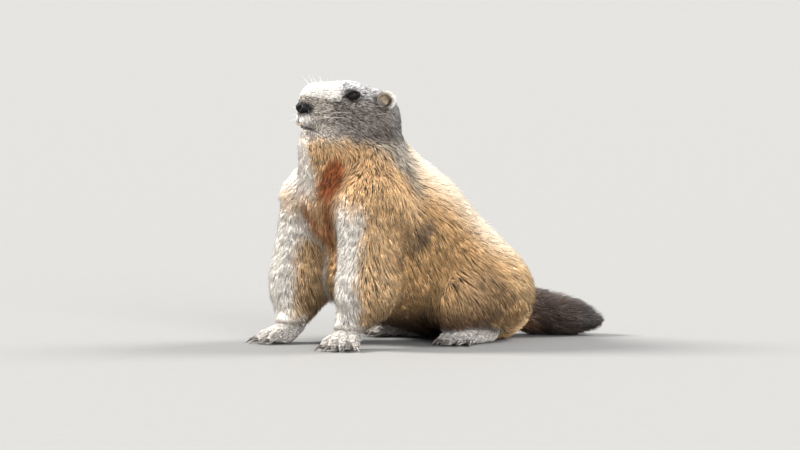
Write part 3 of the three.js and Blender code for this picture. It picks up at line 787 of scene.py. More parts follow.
def markings_and_painted_light(p, n):
    """The coat's colour at rows of points with their normals: trunk, front, nape, head and tail."""
    x, y, z = p.T
    colour = front_colour(trunk_colour(p, n), p, n)
    forward, _, top = head_place(p)
    nape = ramp(z + 0.88 * y + 8 * soft_noise(p, 14, 4)[:, 0], 106, 136) * (1 - ramp(y, -72, -46))
    colour = mix(colour, NAPE, nape * ramp(z, 130, 160))
    behind = 22 * ramp(-forward, 20, 50)
    level = top + 0.12 * forward + 4 * soft_noise(p, 9, 3)[:, 0]
    colour = mix(colour, face_colour(p), ramp(level, -44 - behind, -26 + behind))
    for eye in eyes.values():
        axes = np.stack([eye["front"], eye["up"] * 1.35, eye["out"] * 0.5], 1)
        near = patch((p - eye["centre"]) @ axes, [2.0, -0.5, 0], 15.0, 0.5)
        colour = mix(colour, DARK, near * 0.85)
    round_nose = patch(p, on_head(53, 0, -6), 17, 0.35) * 0.85
    colour = mix(colour, DARK, round_nose * ramp(-top, -6, 0) * (1 - ramp(-top, 12, 18)))
    along_tail = y + 0.2 * x
    colour = mix(colour, TAIL_ROOT, ramp(along_tail, 104, 118) * (1 - ramp(z, 46, 70)))
    colour = mix(colour, TAIL_MID, ramp(along_tail, 112, 140))
    colour = mix(colour, TAIL_END, ramp(along_tail, 165, 195))
    return mix(colour, HAND, near_paws(x, y, z) * (1 - ramp(z, 22, 40)))


# %% [markdown]
# ## Building materials in words
# Blender's materials are graphs of nodes. Two small classes make them read like sums: a wire is the
# output of a node and can be added or multiplied, and a finish is a material that hands out nodes.

# %% Wires and finishes
class Wire:
    """A node's output, with the usual sums on it, each of which adds a Math node."""

    def __init__(self, finish, socket):
        self.finish, self.socket = finish, socket

    def __add__(self, other):
        return self.finish.math("ADD", self, other)

    def __radd__(self, other):
        return self.finish.math("ADD", other, self)

    def __sub__(self, other):
        return self.finish.math("SUBTRACT", self, other)

    def __rsub__(self, other):
        return self.finish.math("SUBTRACT", other, self)

    def __mul__(self, other):
        return self.finish.math("MULTIPLY", self, other)

    def __rmul__(self, other):
        return self.finish.math("MULTIPLY", other, self)

    def __pow__(self, other):
        return self.finish.math("POWER", self, other)


class Finish:
    """A material whose shader is given its constants by name and its patterns by wires."""

    def __init__(self, name, **constants):
        self.material = bpy.data.materials.new(name)
        self.material.use_nodes = True
        self.tree = self.material.node_tree
        self.shader = self.tree.nodes["Principled BSDF"]
        for socket, value in constants.items():
            self.feed(self.shader, socket.replace("_", " "), value)

    def feed(self, node, socket, value):
        """A wire is linked to the socket and anything else is set as its constant."""
        if isinstance(value, Wire):
            self.tree.links.new(value.socket, node.inputs[socket])
        else:
            node.inputs[socket].default_value = value

    def node(self, kind, inputs, output=0, **settings):
        """Any node: its settings first, then its sockets, and the wire that comes out."""
        made = self.tree.nodes.new("ShaderNode" + kind)
        for setting, value in settings.items():
            setattr(made, setting, value)
        for socket, value in inputs.items():
            self.feed(made, socket, value)
        return Wire(self, made.outputs[output])

    def math(self, operation, a, b):
        """A Math node on two numbers or wires."""
        return self.node("Math", {0: a, 1: b}, operation=operation)

    def place(self):
        """Object coordinates in metres."""
        return self.node("TexCoord", {}, "Object")

    def stretched(self, x, y, z):
        """Object coordinates times a number on each axis, by Vector Math."""
        return self.node("VectorMath", {0: self.place(), 1: (x, y, z)}, operation="MULTIPLY")

    def noise(self, scale, detail=3.0, where=None):
        """Noise from 0 to 1 with this many waves to the metre."""
        where = where or self.place()
        return self.node("TexNoise", {"Vector": where, "Scale": scale, "Detail": detail})

    def between(self, value, low, high, to_low, to_high):
        """The value carried from one range to another and held within it."""
        inputs = {"Value": value, "From Min": low, "From Max": high, "To Min": to_low, "To Max": to_high}
        return self.node("MapRange", inputs)

    def colours(self, share, a, b, blend="MIX"):
        """From colour a to colour b by a share."""
        inputs = {0: share, 6: a, 7: b}
        return self.node("Mix", inputs, 2, data_type="RGBA", blend_type=blend)

    def painted(self, attribute="coat_colour"):
        """The colour kept with each point of the mesh."""
        return self.node("Attribute", {}, "Color", attribute_name=attribute)

    def set(self, **patterns):
        """Wires into the shader's own sockets."""
        for socket, value in patterns.items():
            self.feed(self.shader, socket.replace("_", " "), value)
        return self

    def bumps(self, height, distance, strength=1.0):
        """A bump of this many metres into the shader's normal."""
        inputs = {"Height": height, "Distance": distance, "Strength": strength}
        return self.set(Normal=self.node("Bump", inputs))

    def on(self, piece):
        """This material becomes the only one of a piece."""
        piece.data.materials.clear()
        piece.data.materials.append(self.material)
        return piece


def paint(piece, colours, name="coat_colour"):
    """One linear colour for each point of a piece."""
    layer = piece.data.color_attributes.new(name, "FLOAT_COLOR", "POINT")
    rgba = np.ones((len(colours), 4), np.float32)
    rgba[:, :3] = np.clip(colours, 0, 1)
    layer.data.foreach_set("color", rgba.ravel())


# %% [markdown]
# ## Skin and coat materials
# Fur is many thin glossy fibres. At this scale each tuft stands for a pinch of them: its colour runs
# from a dark root to a pale tip, its shine is low and spread, and fine streaks along it come from
# stretched noise. The skin beneath is the same pattern, darker, as underfur in shadow is.

# %% Fur and underfur
fur = Finish("marmot_guard_hair", IOR=1.5)
streaks = fur.noise(900, 2.0, fur.stretched(1, 1, 0.25))
brown = (0.05, 0.036, 0.027, 1)
fur_colour = fur.colours(fur.between(streaks, 0.35, 0.7, 0, 0.35), fur.painted(), brown)
fur.set(Base_Color=fur_colour, Roughness=fur.between(streaks, 0.3, 0.7, 0.42, 0.66))
fur.bumps(streaks, 0.0002, 0.5)

underfur = Finish("marmot_underfur", Specular_IOR_Level=0.2)
woolly = underfur.noise(650, 4.0)
shadow = (0.02, 0.014, 0.01, 1)
underfur.set(
    Base_Color=underfur.colours(
        underfur.between(woolly, 0.3, 0.75, 0.35, 0.75), underfur.painted(), shadow
    ),
    Roughness=underfur.between(woolly, 0.3, 0.7, 0.75, 0.95),
)
underfur.bumps(woolly, 0.0012, 0.7)

# %% [markdown]
# ## The skin as a piece
# One skin stands for all the soft solids of the frame: head, trunk, legs, hands, feet and tail. It
# is unwrapped once, and the same unwrap later gives each tuft a small patch at its root's place.

# %% Place the skin and unwrap it
SOFT_NODES = ["head", "neck", "chest", "belly", "rump", "tail_root", "tail_end"] + [
    f"{side}_{part}"
    for side in SIDES
    for part in ("upper_arm", "forearm", "hand", "thigh", "hind_foot")
]
skin = make_piece("skin", to_frame(skin_points), skin_faces)
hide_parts(*SOFT_NODES)
underfur.on(skin)
paint(skin, markings_and_painted_light(skin_points, skin_normals))
skin.data.uv_layers.new(name="OFBake")
bpy.context.view_layer.objects.active = skin
skin.select_set(True)
bpy.ops.object.mode_set(mode="EDIT")
bpy.ops.mesh.select_all(action="SELECT")
bpy.ops.uv.smart_project(angle_limit=1.15, island_margin=0.002)
bpy.ops.object.mode_set(mode="OBJECT")
skin_uv = np.empty(len(skin.data.loops) * 2, np.float32)
skin.data.uv_layers["OFBake"].data.foreach_get("uv", skin_uv)
corner_of = np.empty(len(skin.data.loops), np.int32)
skin.data.loops.foreach_get("vertex_index", corner_of)
skin_uv, skin_faces = skin_uv.reshape(-1, 4, 2), corner_of.reshape(-1, 4)
print("skin unwrapped:", skin_uv.min(axis=(0, 1)), skin_uv.max(axis=(0, 1)))

# %% [markdown]
# ## The coat
# The coat is real mesh, so that it also shows in a tool that can't render hair. Each tuft is a
# three-sided spike, bent once: 7 points and 10 triangles. Roots are scattered by area, more of them
# on the face and paws, where the tufts are small. Tufts of a lock lean towards the lock's centre.

# %% Scatter the roots
TUFTS = 146000


def paw_share(p):
    """1 on the hands and hind feet, fading out up the wrists."""
    return near_paws(*p.T) * (1 - ramp(p[:, 2], 26, 44))


triangles = np.concatenate([skin_faces[:, [0, 1, 2]], skin_faces[:, [0, 2, 3]]])
triangle_uv = np.concatenate([skin_uv[:, [0, 1, 2]], skin_uv[:, [0, 2, 3]]])
a, b, c = (skin_points[triangles[:, i]] for i in range(3))
area = np.linalg.norm(np.cross(b - a, c - a), axis=1) / 2
middle = (a + b + c) / 3
share_head, share_paw = head_share(middle), paw_share(middle)
crowd = mix(mix(np.ones(len(middle)), 2.9, share_head), 3.2, share_paw)
crowd = crowd * (1 + 0.8 * share_head * ramp(head_place(middle)[0], 0, 40))
crowd = crowd * ramp(middle[:, 2], 1.5, 4.0) * (1 + 0.25 * tail_share(middle))
chance = np.cumsum(area * crowd)
picked = np.searchsorted(chance, rng.random(TUFTS) * chance[-1])
s, t = rng.random((2, TUFTS))
s, t = np.where(s + t > 1, 1 - s, s), np.where(s + t > 1, 1 - t, t)
weights = np.stack([1 - s - t, s, t], 1)[:, :, None]
roots = np.sum(np.stack([a[picked], b[picked], c[picked]], 1) * weights, axis=1)
root_uv = np.sum(triangle_uv[picked] * weights, axis=1)
print("skin area, cm2:", (area.sum() / 100).round(), "tufts:", TUFTS)


# %% Leave bare what is bare
NOSE_AT, NOSE_SIZE = (52.3, 0.0, -5.4), np.array([12.6, 11.4, 7.4])


def eye_opening(p, eye, wide, high):
    """Under 1 where a point lies inside an oval over the front of the eye."""
    d = p - eye["centre"]
    across, rise = d @ eye["along"], d @ eye["up"]
    facing = d @ eye["out"] > 0
    return np.where(facing, (across / wide) ** 2 + (rise / high) ** 2, 9.0)


def nose_share(p, grow):
    """Under 1 inside the nose pad's oval, grown by some millimetres: the sum of (d/size)^2."""
    d = (np.stack(head_place(p), -1) - NOSE_AT) / (NOSE_SIZE + grow)
    return np.sum(d * d, axis=-1)


bare = nose_share(roots, 0.4) < 1
for eye in eyes.values():
    bare |= eye_opening(roots, eye, 9.6, 8.0) < 1
roots, root_uv = roots[~bare], root_uv[~bare]
root_n = slope_at(roots)
print("tufts kept:", len(roots))

# %% Length, width and rise of each tuft
on_face, on_paw, on_tail = head_share(roots), paw_share(roots), tail_share(roots)
forward, _, top = head_place(roots)
hair = np.full(len(roots), 26.0) - 5 * ramp(-root_n[:, 1], 0.2, 0.9) * ramp(roots[:, 2], 60, 120)
hair = mix(hair, 30.0, on_tail)
leg_hair = 12 + 7 * ramp(roots[:, 2], 30, 70)
for s in (1, -1):
    on_leg = (1 - ramp(fore_leg(s).at(*roots.T), -26, 0)) * (1 - ramp(roots[:, 2], 60, 120))
    hair = mix(hair, leg_hair, on_leg)
face_hair = 13.5 - 8.2 * ramp(forward + 0.5 * top, -6, 38) + 5.0 * ramp(-forward, 8, 36)
for eye in eyes.values():
    face_hair = mix(face_hair, 3.4, patch(roots, eye["centre"], 17))
hair = mix(mix(hair, face_hair, on_face), 4.2, on_paw)
width = mix(mix(mix(np.full(len(roots), 0.9), 0.95, on_face), 0.6, on_paw), 1.05, on_tail)
width = width * mix(np.ones(len(roots)), 0.66, on_face * ramp(forward, 0, 35))
hair *= rng.uniform(0.78, 1.18, len(roots))
width *= rng.uniform(0.75, 1.2, len(roots))
body_lock, body_chance = lock_of(roots, 9.5)
face_lock, face_chance = lock_of(roots, 4.0)
small = (on_face > 0.5) | (on_paw > 0.5)
lock = np.where(small[:, None], face_lock, body_lock)
lock_chance = np.where(small[:, None], face_chance, body_chance)

# %% Bend each tuft over and bring its tip to the outline
lie = lie_at(roots, root_n)
lie = unit(lie + 0.12 * rng.normal(size=lie.shape))
lie = unit(lie - root_n * np.sum(lie * root_n, axis=1, keepdims=True))
pull = lock - roots
pull = pull - root_n * np.sum(pull * root_n, axis=1, keepdims=True)
pull = pull * (mix(0.36, 0.1, small) + 0.22 * rng.random(len(roots)))[:, None]
proud = (lock_chance[:, 0] - 0.35) * 4.2 + rng.normal(0, 0.7, len(roots))
proud = proud * mix(mix(np.ones(len(roots)), 0.3, on_face), 0.2, on_paw)
proud = proud + 4.0 * np.exp(-(((roots[:, 2] - 214) / 26) ** 2)) * ramp(-forward, 38, 58)
depth = -outline_at(roots)


def tip_at(share, level):
    """The place some way along each tuft, moved along the slope until the field is at this level."""
    spot = roots + lie * (hair * share)[:, None] + pull * share**1.3
    for _ in range(2):
        spot = spot + slope_at(spot) * (level - outline_at(spot))[:, None]
    return spot


middles = tip_at(0.5, -depth * 0.42 + proud * 0.3)
tips = tip_at(0.96, proud)
middles[:, 2], tips[:, 2] = np.maximum(middles[:, 2], 0.8), np.maximum(tips[:, 2], 0.4)
stray = np.linalg.norm(tips - roots, axis=1) / hair
print("tip to root over length:", np.percentile(stray, [1, 50, 99]).round(2))

# %% Tufts as arrays
RING = np.array([[0, 0.42], [-0.5, -0.2], [0.5, -0.2]])
SPIKE = [[2, 1, 0]]
for i, j in ((0, 1), (1, 2), (2, 0)):
    SPIKE += [[i, j, j + 3], [i, j + 3, i + 3], [i + 3, j + 3, 6]]
UV_PATCH = np.concatenate([RING * 0.003, RING * 0.0018, [[0, 0]]])


def tuft_mesh(n, rings, tip, uv):
    """Points (7 a tuft), faces (10 a tuft) and small UV patches round each tuft's own place.

    A ring is (spots, ways, sizes): spot + size * (across, up) times RING. The last point is the tip."""
    points = np.empty((len(tip), 7, 3))
    for first, (spot, way, size) in zip((0, 3), rings):
        way = unit(way)
        across = unit(np.cross(n, way))
        up = np.cross(way, across)
        ring = RING[None, :, :1] * across[:, None] + RING[None, :, 1:] * up[:, None]
        points[:, first : first + 3] = spot[:, None] + ring * size
    points[:, 6] = tip
    faces = (np.array(SPIKE)[None] + 7 * np.arange(len(tip))[:, None, None]).reshape(-1, 3)
    return points.reshape(-1, 3), faces, (uv[:, None] + UV_PATCH).reshape(-1, 2)


def keep_uv(piece, uv, faces):
    """Each corner's place on the unwrap, in the map OFBake."""
    layer = piece.data.uv_layers.new(name="OFBake")
    layer.data.foreach_set("uv", uv[faces.ravel()].astype(np.float32).ravel())


# %% [markdown]
# ## Hair colour
# A guard hair of a marmot is banded: dark at the root, its own colour in the middle, and pale or
# black at the tip. Seen together these bands make the grizzled look, so some tufts get a pale tip,
# some a black one, and whole locks differ a little.

# %% Colours of root, middle and tip
def brighter(colour, times, most=0.9):
    """Colours times a number, or as far as the strongest channel can go without a change of hue."""
    return colour * np.minimum(times, most / colour.max(axis=1, keepdims=True))


coat = brighter(markings_and_painted_light(roots + 0.6 * (tips - roots), root_n), 1.22)
luck = rng.random(len(roots))
paleness = ramp(coat.min(axis=1), 0.35, 0.7)
luck_of_each = 1 + (1 - 0.7 * paleness) * (0.8 * rng.random(len(roots)) - 0.4)
luck_of_lock = 1 + (1 - 0.7 * paleness) * (0.4 * lock_chance[:, 1] - 0.2)
coat = brighter(coat, (luck_of_each * luck_of_lock)[:, None])
pale = brighter(coat * 0.94 + 0.04 * (1 - on_tail[:, None]), 1.5 + 1.3 * on_face[:, None])
dark = coat * 0.12
ticked = 0.82 - 0.16 * on_face * (1 - ramp(coat.mean(axis=1), 0.4, 0.7)) + 0.1 * on_tail + 0.12 * paleness
tip_colour = np.where((luck < 0.42 + 0.4 * paleness)[:, None], pale, coat * 1.12)
tip_colour = np.where((luck > ticked)[:, None], dark, tip_colour)
knee_colour = np.where((luck > ticked)[:, None], coat * 0.22, coat * 1.08)
knee_colour = np.where((luck < 0.3 * on_face)[:, None], brighter(coat, 1.9), knee_colour)
# Roots are dark, as a hair's bands are; in pale zones they are lighter, partly as painted light standing
# in for light scattered through pale hair.
root_colour = coat * mix(0.36, 0.9, paleness)[:, None]
tuft_colour = np.stack([root_colour] * 3 + [knee_colour] * 3 + [tip_colour], 1)

# %% Plant the coat, one piece for each region
NECK_ABOVE, RUMP_BEHIND = 150, -20
where = [on_tail > 0.5, on_paw > 0.5, on_face > 0.5]
where += [roots[:, 2] > NECK_ABOVE, roots[:, 1] > RUMP_BEHIND]
region_of = np.select(where, range(len(where)), len(where))
REGION_NAMES = ["coat_tail", "coat_paws", "coat_head", "coat_neck", "coat_rump", "coat_flanks"]
REGION_SLOTS = ["tail_fur", "paw_fur", "grey_fur", "tan_fur", "brown_fur", "tan_fur"]
MOST = 19000  # tufts in one piece
for region, (name, slot) in enumerate(zip(REGION_NAMES, REGION_SLOTS)):
    chosen = np.flatnonzero(region_of == region)
    for part, rows in enumerate(np.array_split(chosen, -(-len(chosen) // MOST))):
        base, knee, tip, n = roots[rows], middles[rows], tips[rows], root_n[rows]
        w = width[rows][:, None, None]
        rings = (base - n * 0.6, knee - base, w), (knee, tip - base, w * 0.85)
        points, faces, uv = tuft_mesh(n, rings, tip, root_uv[rows])
        piece = make_piece(f"{name}_{part + 1}", to_frame(points), faces)
        fur.on(piece)
        paint(piece, tuft_colour[rows].reshape(-1, 3))
        keep_uv(piece, uv, faces)
        print(piece.name, len(rows), "tufts")

# %% [markdown]
# ## Eyes and lids
# A marmot's eye is almost black, with a clear wet front. The lids are a bare dark rim round an almond
# opening that is longer to the front. The rim is one closed ring: a flat oval profile carried round
# the almond, its inner edge on the ball. A small dark oval fills the corner.

# %% Eyeballs and rims
eye_finish = Finish("wet_dark_eye", Specular_IOR_Level=0.35, IOR=1.38)
iris = eye_finish.noise(700, 3.0)
black, black_brown = (0.004, 0.003, 0.003, 1), (0.010, 0.006, 0.004, 1)
eye_finish.set(
    Base_Color=eye_finish.colours(eye_finish.between(iris, 0.4, 0.7, 0, 1), black, black_brown),
    Roughness=eye_finish.between(iris, 0.3, 0.7, 0.03, 0.06),
)
lid_finish = Finish("eyelid_skin", Specular_IOR_Level=0.08)
pores = lid_finish.noise(1500, 3.0)
lid_finish.set(
    Base_Color=lid_finish.colours(pores, black, (0.012, 0.010, 0.009, 1)),
    Roughness=lid_finish.between(pores, 0.3, 0.7, 0.5, 0.7),
).bumps(pores, 0.0002, 0.6)


def ball(centre, axes, radii, rows=24, columns=32, bulge=0.0):
    """An oval from pole to pole: centre + radii * (cos v, sin v cos u, sin v sin u) on its axes.

    bulge raises the front by that share of the first radius near the pole."""
    v = np.linspace(0, np.pi, rows + 1)[1:-1, None]
    u = np.linspace(0, 2 * np.pi, columns, endpoint=False)[None]
    front = np.cos(v) * (1 + bulge * np.exp(-((v / 0.5) ** 2)))
    local = np.stack(np.broadcast_arrays(front, np.sin(v) * np.cos(u), np.sin(v) * np.sin(u)), -1)
    poles = np.array([[1 + bulge, 0, 0], [-1.0, 0, 0]])
    local = np.concatenate([local.reshape(-1, 3), poles]) * radii
    quads = grid_faces(rows - 1, columns)
    quads = np.concatenate([quads[:, [0, 1, 2]], quads[:, [0, 2, 3]]])[:, ::-1]
    ring = np.arange(columns)
    nxt, last = (ring + 1) % columns, (rows - 2) * columns
    front_cap = np.stack([np.full(columns, len(local) - 2), nxt, ring], 1)
    back_cap = np.stack([np.full(columns, len(local) - 1), last + ring, last + nxt], 1)
    return centre + local @ np.array(axes), np.concatenate([quads, front_cap, back_cap])


def almond(turn):
    """The lid opening at an angle: wide at the front corner, and sloping down to it. Millimetres."""
    across = 6.4 * np.cos(turn) + 2.0 * np.maximum(np.cos(turn), 0) ** 4
    rise = 4.3 * np.sin(turn)
    rise = rise * (1 - 0.25 * np.abs(np.cos(turn)) ** 3) - 0.25 * across - 0.5
    return across, rise


RIM_POINTS, RIM_SIDES = 48, 10


def lid_rim(eye):
    """The almond round the eye times 1.17 - 0.17 cos w, lifted off the ball by sin w, for w around."""
    turn = np.linspace(0, 2 * np.pi, RIM_POINTS, endpoint=False)[:, None]
    spin = np.linspace(0, 2 * np.pi, RIM_SIDES, endpoint=False)[None]
    across, rise = almond(turn)
    grow = 1.17 - 0.17 * np.cos(spin)
    lift = 1.0 * np.sin(spin) - 0.5 * (1 - np.cos(spin)) + 0.55
    bulk = np.sqrt(np.maximum(EYE_RADIUS**2 - (across * 0.86) ** 2 - rise**2, 4.0)) + lift
    rim = eye["centre"] + (across * grow)[..., None] * eye["front"]
    rim = rim + (rise * grow)[..., None] * eye["up"] + bulk[..., None] * eye["out"]
    first, after = np.arange(RIM_SIDES), (np.arange(RIM_SIDES) + 1) % RIM_SIDES
    last = (RIM_POINTS - 1) * RIM_SIDES
    closing = np.stack([last + first, last + after, after, first], 1)
    faces = np.concatenate([grid_faces(RIM_POINTS, RIM_SIDES), closing])
    if np.dot(eye["front"], eye["along"]) < 0:
        faces = faces[:, ::-1]
    return rim.reshape(-1, 3), faces


for name, eye in eyes.items():
    axes = [eye["out"], eye["along"], eye["up"]]
    points, faces = ball(eye["centre"], axes, [EYE_RADIUS - 0.1] * 3, bulge=0.03)
    eyeball = make_piece(f"{name}_eyeball", to_frame(points), faces)
    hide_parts(f"{name}_eye")
    eye_finish.on(eyeball)
    points, faces = lid_rim(eye)
    lid_finish.on(make_piece(f"{name}_lids", to_frame(points), faces))
    corner = eye["centre"] + 6.3 * eye["front"] - 2.0 * eye["up"] + 1.6 * eye["out"]
    points, faces = ball(corner, axes, [2.6, 3.4, 2.6], 12, 16)
    lid_finish.on(make_piece(f"{name}_eye_corner", to_frame(points), faces))
print("eyes and lids in place")

# %% [markdown]
# ## Nose, mouth and teeth
# The nose pad is bare, black and pebbled, with a comma-shaped nostril on each side and a groove down
# its middle that runs on as the split of the lip. Behind the split show two long orange incisors.

# %% Nose pad
nose_finish = Finish("nose_leather", Specular_IOR_Level=0.16)
pebbles = nose_finish.node("TexVoronoi", {"Vector": nose_finish.place(), "Scale": 1400.0}, "Distance")
nose_finish.set(
    Base_Color=nose_finish.colours(pebbles, (0.006, 0.005, 0.005, 1), (0.002, 0.002, 0.002, 1)),
    Roughness=nose_finish.between(pebbles, 0, 0.8, 0.45, 0.65),
).bumps(pebbles, 0.0003, 0.6)


def nose_pad():
    """An oval with two dents 4.4 mm deep for nostrils and a groove, all of them exp(-d^2) shaped."""
    points, faces = ball(np.zeros(3), np.eye(3), NOSE_SIZE, 60, 72)
    ahead, left, top = points.T
    in_front = ahead > 0
    for s in (1, -1):
        nostril = ((left - s * (4.6 + 0.4 * (top + 1))) / 1.9) ** 2 + ((top + 0.6) / 2.8) ** 2
        ahead = ahead - 4.4 * np.exp(-nostril) * in_front
    ahead = ahead - 1.3 * np.exp(-((left / 0.7) ** 2)) * in_front * ramp(-top, -4, 2)
    return on_head(NOSE_AT[0] + ahead, NOSE_AT[1] + left, NOSE_AT[2] + top), faces


points, faces = nose_pad()
nose = make_piece("nose_pad", to_frame(points), faces)
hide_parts("nose")
nose_finish.on(nose)

# %% Lips and the split between them
# The lip tubes are painted dark, partly as the dark skin of the lips and partly as painted shade standing
# in for the narrow slit between them.
lip_and_slit_shade_finish = Finish("lip_skin_and_slit_shade", Coat_Weight=0.15)
creases = lip_and_slit_shade_finish.noise(1200, 3.0)
lip_and_slit_shade_finish.set(
    Base_Color=lip_and_slit_shade_finish.colours(creases, (0.010, 0.007, 0.006, 1), (0.035, 0.022, 0.018, 1)),
    Roughness=lip_and_slit_shade_finish.between(creases, 0.3, 0.7, 0.45, 0.65),
).bumps(creases, 0.0003)
LIP_POINTS, SPLIT_POINTS = 49, 15
lip_radii = 1.25 * np.sqrt(1 - np.linspace(-0.999, 0.999, LIP_POINTS) ** 2)
split_radii = 1.15 * np.sqrt(1 - np.linspace(-0.99, 0.99, SPLIT_POINTS) ** 2) + 0.1
lip_tube = swept_tube(lip_curve(2.0, points=LIP_POINTS), lip_radii)
split_tube = swept_tube(split_curve(1.9, SPLIT_POINTS), split_radii)
points, faces = joined_pieces([lip_tube, split_tube])
lip_and_slit_shade_finish.on(make_piece("lip_line", to_frame(points), faces))

# %% Incisors
enamel = Finish("incisor_enamel", Coat_Weight=0.5, Coat_Roughness=0.15, IOR=1.6)
grain = enamel.noise(500, 3.0, enamel.stretched(3, 3, 0.5))
enamel.set(
    Base_Color=enamel.colours(grain, (0.62, 0.26, 0.06, 1), (0.80, 0.48, 0.18, 1)),
    Roughness=enamel.between(grain, 0.3, 0.7, 0.22, 0.38),
)
teeth = []
for s in (1, -1):
    t = np.linspace(0, 1, 12)
    front = split_curve(0.9, 9)[-2]
    root_to_tip = (1 - t)[:, None] * (11 * TOP - 7 * FORWARD) + (t**2 - t)[:, None] * -3.0 * FORWARD
    path = front + root_to_tip + LEFT * s * 1.4 - t[:, None] * 1.2 * TOP
    radii = 1.35 * (1 - 0.25 * t**4) * np.where((t > 0) & (t < 1), 1, 0.02)
    teeth.append(swept_tube(path, radii))
points, faces = joined_pieces(teeth)
incisors = make_piece("incisors", to_frame(points), faces)
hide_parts("upper_incisors")
enamel.on(incisors)
print("nose, lips and incisors in place")

# %% [markdown]
# ## Ears
# A marmot's ears are short round cups, almost lost in the fur, with a thick furred rim and painted
# shade in the fold inside, to the back and below. Each is one closed shell: a dome outside, a hollow
# inside, joined at a rounded rim, with short tufts planted on it.

# %% Ear shells
EAR_ROWS, EAR_COLUMNS = 26, 40


def ear_shell(s):
    """A cup whose profile runs from the back pole over the rim into the hollow.

    A profile point (v, r, d) says that v of the way along the rows the radius is r and the depth d."""
    opening = unit(0.45 * FORWARD + s * LEFT + 0.1 * TOP)
    along = unit(np.cross(TOP, opening))
    upward = np.cross(opening, along)
    v = np.linspace(0, 1, EAR_ROWS)[:, None]
    u = np.linspace(0, 2 * np.pi, EAR_COLUMNS, endpoint=False)[None]
    profile_v = np.array([0, 0.12, 0.25, 0.4, 0.52, 0.6, 0.68, 0.8, 0.92, 1.0])
    profile_r = np.array([0.02, 4.6, 7.6, 9.0, 9.2, 8.8, 8.0, 6.4, 3.6, 0.02])
    profile_d = np.array([-6.0, -5.4, -3.4, 0.0, 2.0, 2.7, 2.0, -2.0, -4.4, -5.0])
    r, d = np.interp(v, profile_v, profile_r), np.interp(v, profile_v, profile_d)
    across, rise = r * np.cos(u), r * 1.02 * np.sin(u)
    to_the_back = 1 if np.dot(along, FORWARD) < 0 else -1
    d = d + 0.34 * to_the_back * across * ramp(r, 2, 8) - 0.8
    centre = on_head(-26.5, s * 36.5, 16)
    points = centre + across[..., None] * along + rise[..., None] * upward + d[..., None] * opening
    points = points.reshape(-1, 3)
    faces = grid_faces(EAR_ROWS, EAR_COLUMNS)
    normals = corner_normals(points, faces)
    rim = slice(EAR_ROWS // 2 * EAR_COLUMNS, (EAR_ROWS // 2 + 1) * EAR_COLUMNS)
    if np.sum((points - centre)[rim] * normals[rim]) < 0:
        faces, normals = faces[:, ::-1], -normals
    local = points - centre
    places = to_the_back * (local @ along), local @ upward, np.hypot(local @ along, local @ upward)
    return points, faces, normals, centre, opening, places


def corner_normals(points, faces):
    """At each point, the sum of the normals of its faces, each as long as its face is large."""
    corner = points[faces]
    face_n = np.cross(corner[:, 1] - corner[:, 0], corner[:, 2] - corner[:, 0])
    normals = np.zeros_like(points)
    for k in range(faces.shape[1]):
        for axis in range(3):
            normals[:, axis] += np.bincount(faces[:, k], face_n[:, axis], len(points))
    return unit(normals)


# %% The ears' colours and their fur
EAR_TUFTS = 2600
ear_skin = Finish("ear_skin", Specular_IOR_Level=0.3)
veins = ear_skin.noise(420, 4.0)
bare_brown = (0.06, 0.04, 0.03, 1)
ear_skin.set(
    Base_Color=ear_skin.colours(
        ear_skin.between(veins, 0.3, 0.7, 0, 0.7), ear_skin.painted(), bare_brown
    ),
    Roughness=ear_skin.between(veins, 0.3, 0.7, 0.6, 0.8),
).bumps(veins, 0.0004)


def ear_colours(inside, places):
    """Cheek colour on the dome, paler to the back and up, warm in the hollow, painted shade in its fold.
    """
    rear, up, from_middle = places
    # Painted shade: the back and lower edge of the hollow, inside the rim, is painted near black.
    fold_shade = ramp(rear * 0.8 - up * 0.6, 1.0, 4.5) * inside * ramp(from_middle, 3.5, 5.5)
    shade = mix(CHEEK, EAR_RIM, ramp(rear + 0.5 * up, -2, 5))
    return mix(mix(shade, EAR_INSIDE, inside), EAR_FOLD_SHADE, fold_shade)


def ear_tufts(points, faces, normals, shade, inside, centre, opening):
    """Short tufts on the shell, lying back and outwards: points, faces, UV patches and colours."""
    pick = rng.integers(0, len(faces), EAR_TUFTS)
    weights = rng.dirichlet(np.ones(4), EAR_TUFTS)[:, :, None]
    base = np.sum(points[faces[pick]] * weights, axis=1)
    n = unit(np.sum(normals[faces[pick]] * weights, axis=1))
    colour = np.sum(shade[faces[pick]] * weights, axis=1)
    spread = 0.25 * rng.normal(size=base.shape)
    way = unit(-FORWARD * 0.9 + 0.35 * unit(base - centre) - 0.25 * opening + spread)
    way = unit(way - 0.8 * n * np.sum(way * n, axis=1, keepdims=True))
    within = inside[faces[pick]].mean(1)
    size = (rng.uniform(2.8, 5.2, EAR_TUFTS) * (1 - 0.66 * within))[:, None]
    rings = (base - 0.3 * n, way, 0.46), (base + n * 0.7 + way * size * 0.5, way, 0.42)
    across_map = (pick % EAR_COLUMNS + weights[:, 0, 0]) / EAR_COLUMNS
    up_map = (pick // EAR_COLUMNS + weights[:, 1, 0]) / EAR_ROWS
    tip = base + n * 1.1 + way * size
    tufts, tuft_faces, uv = tuft_mesh(n, rings, tip, np.stack([across_map, up_map], 1))
    bands = colour[:, None] * np.array([0.45] * 3 + [0.95] * 3 + [1.3])[None, :, None]
    return tufts, tuft_faces, uv, (bands * rng.uniform(0.75, 1.25, (EAR_TUFTS, 1, 1))).reshape(-1, 3)


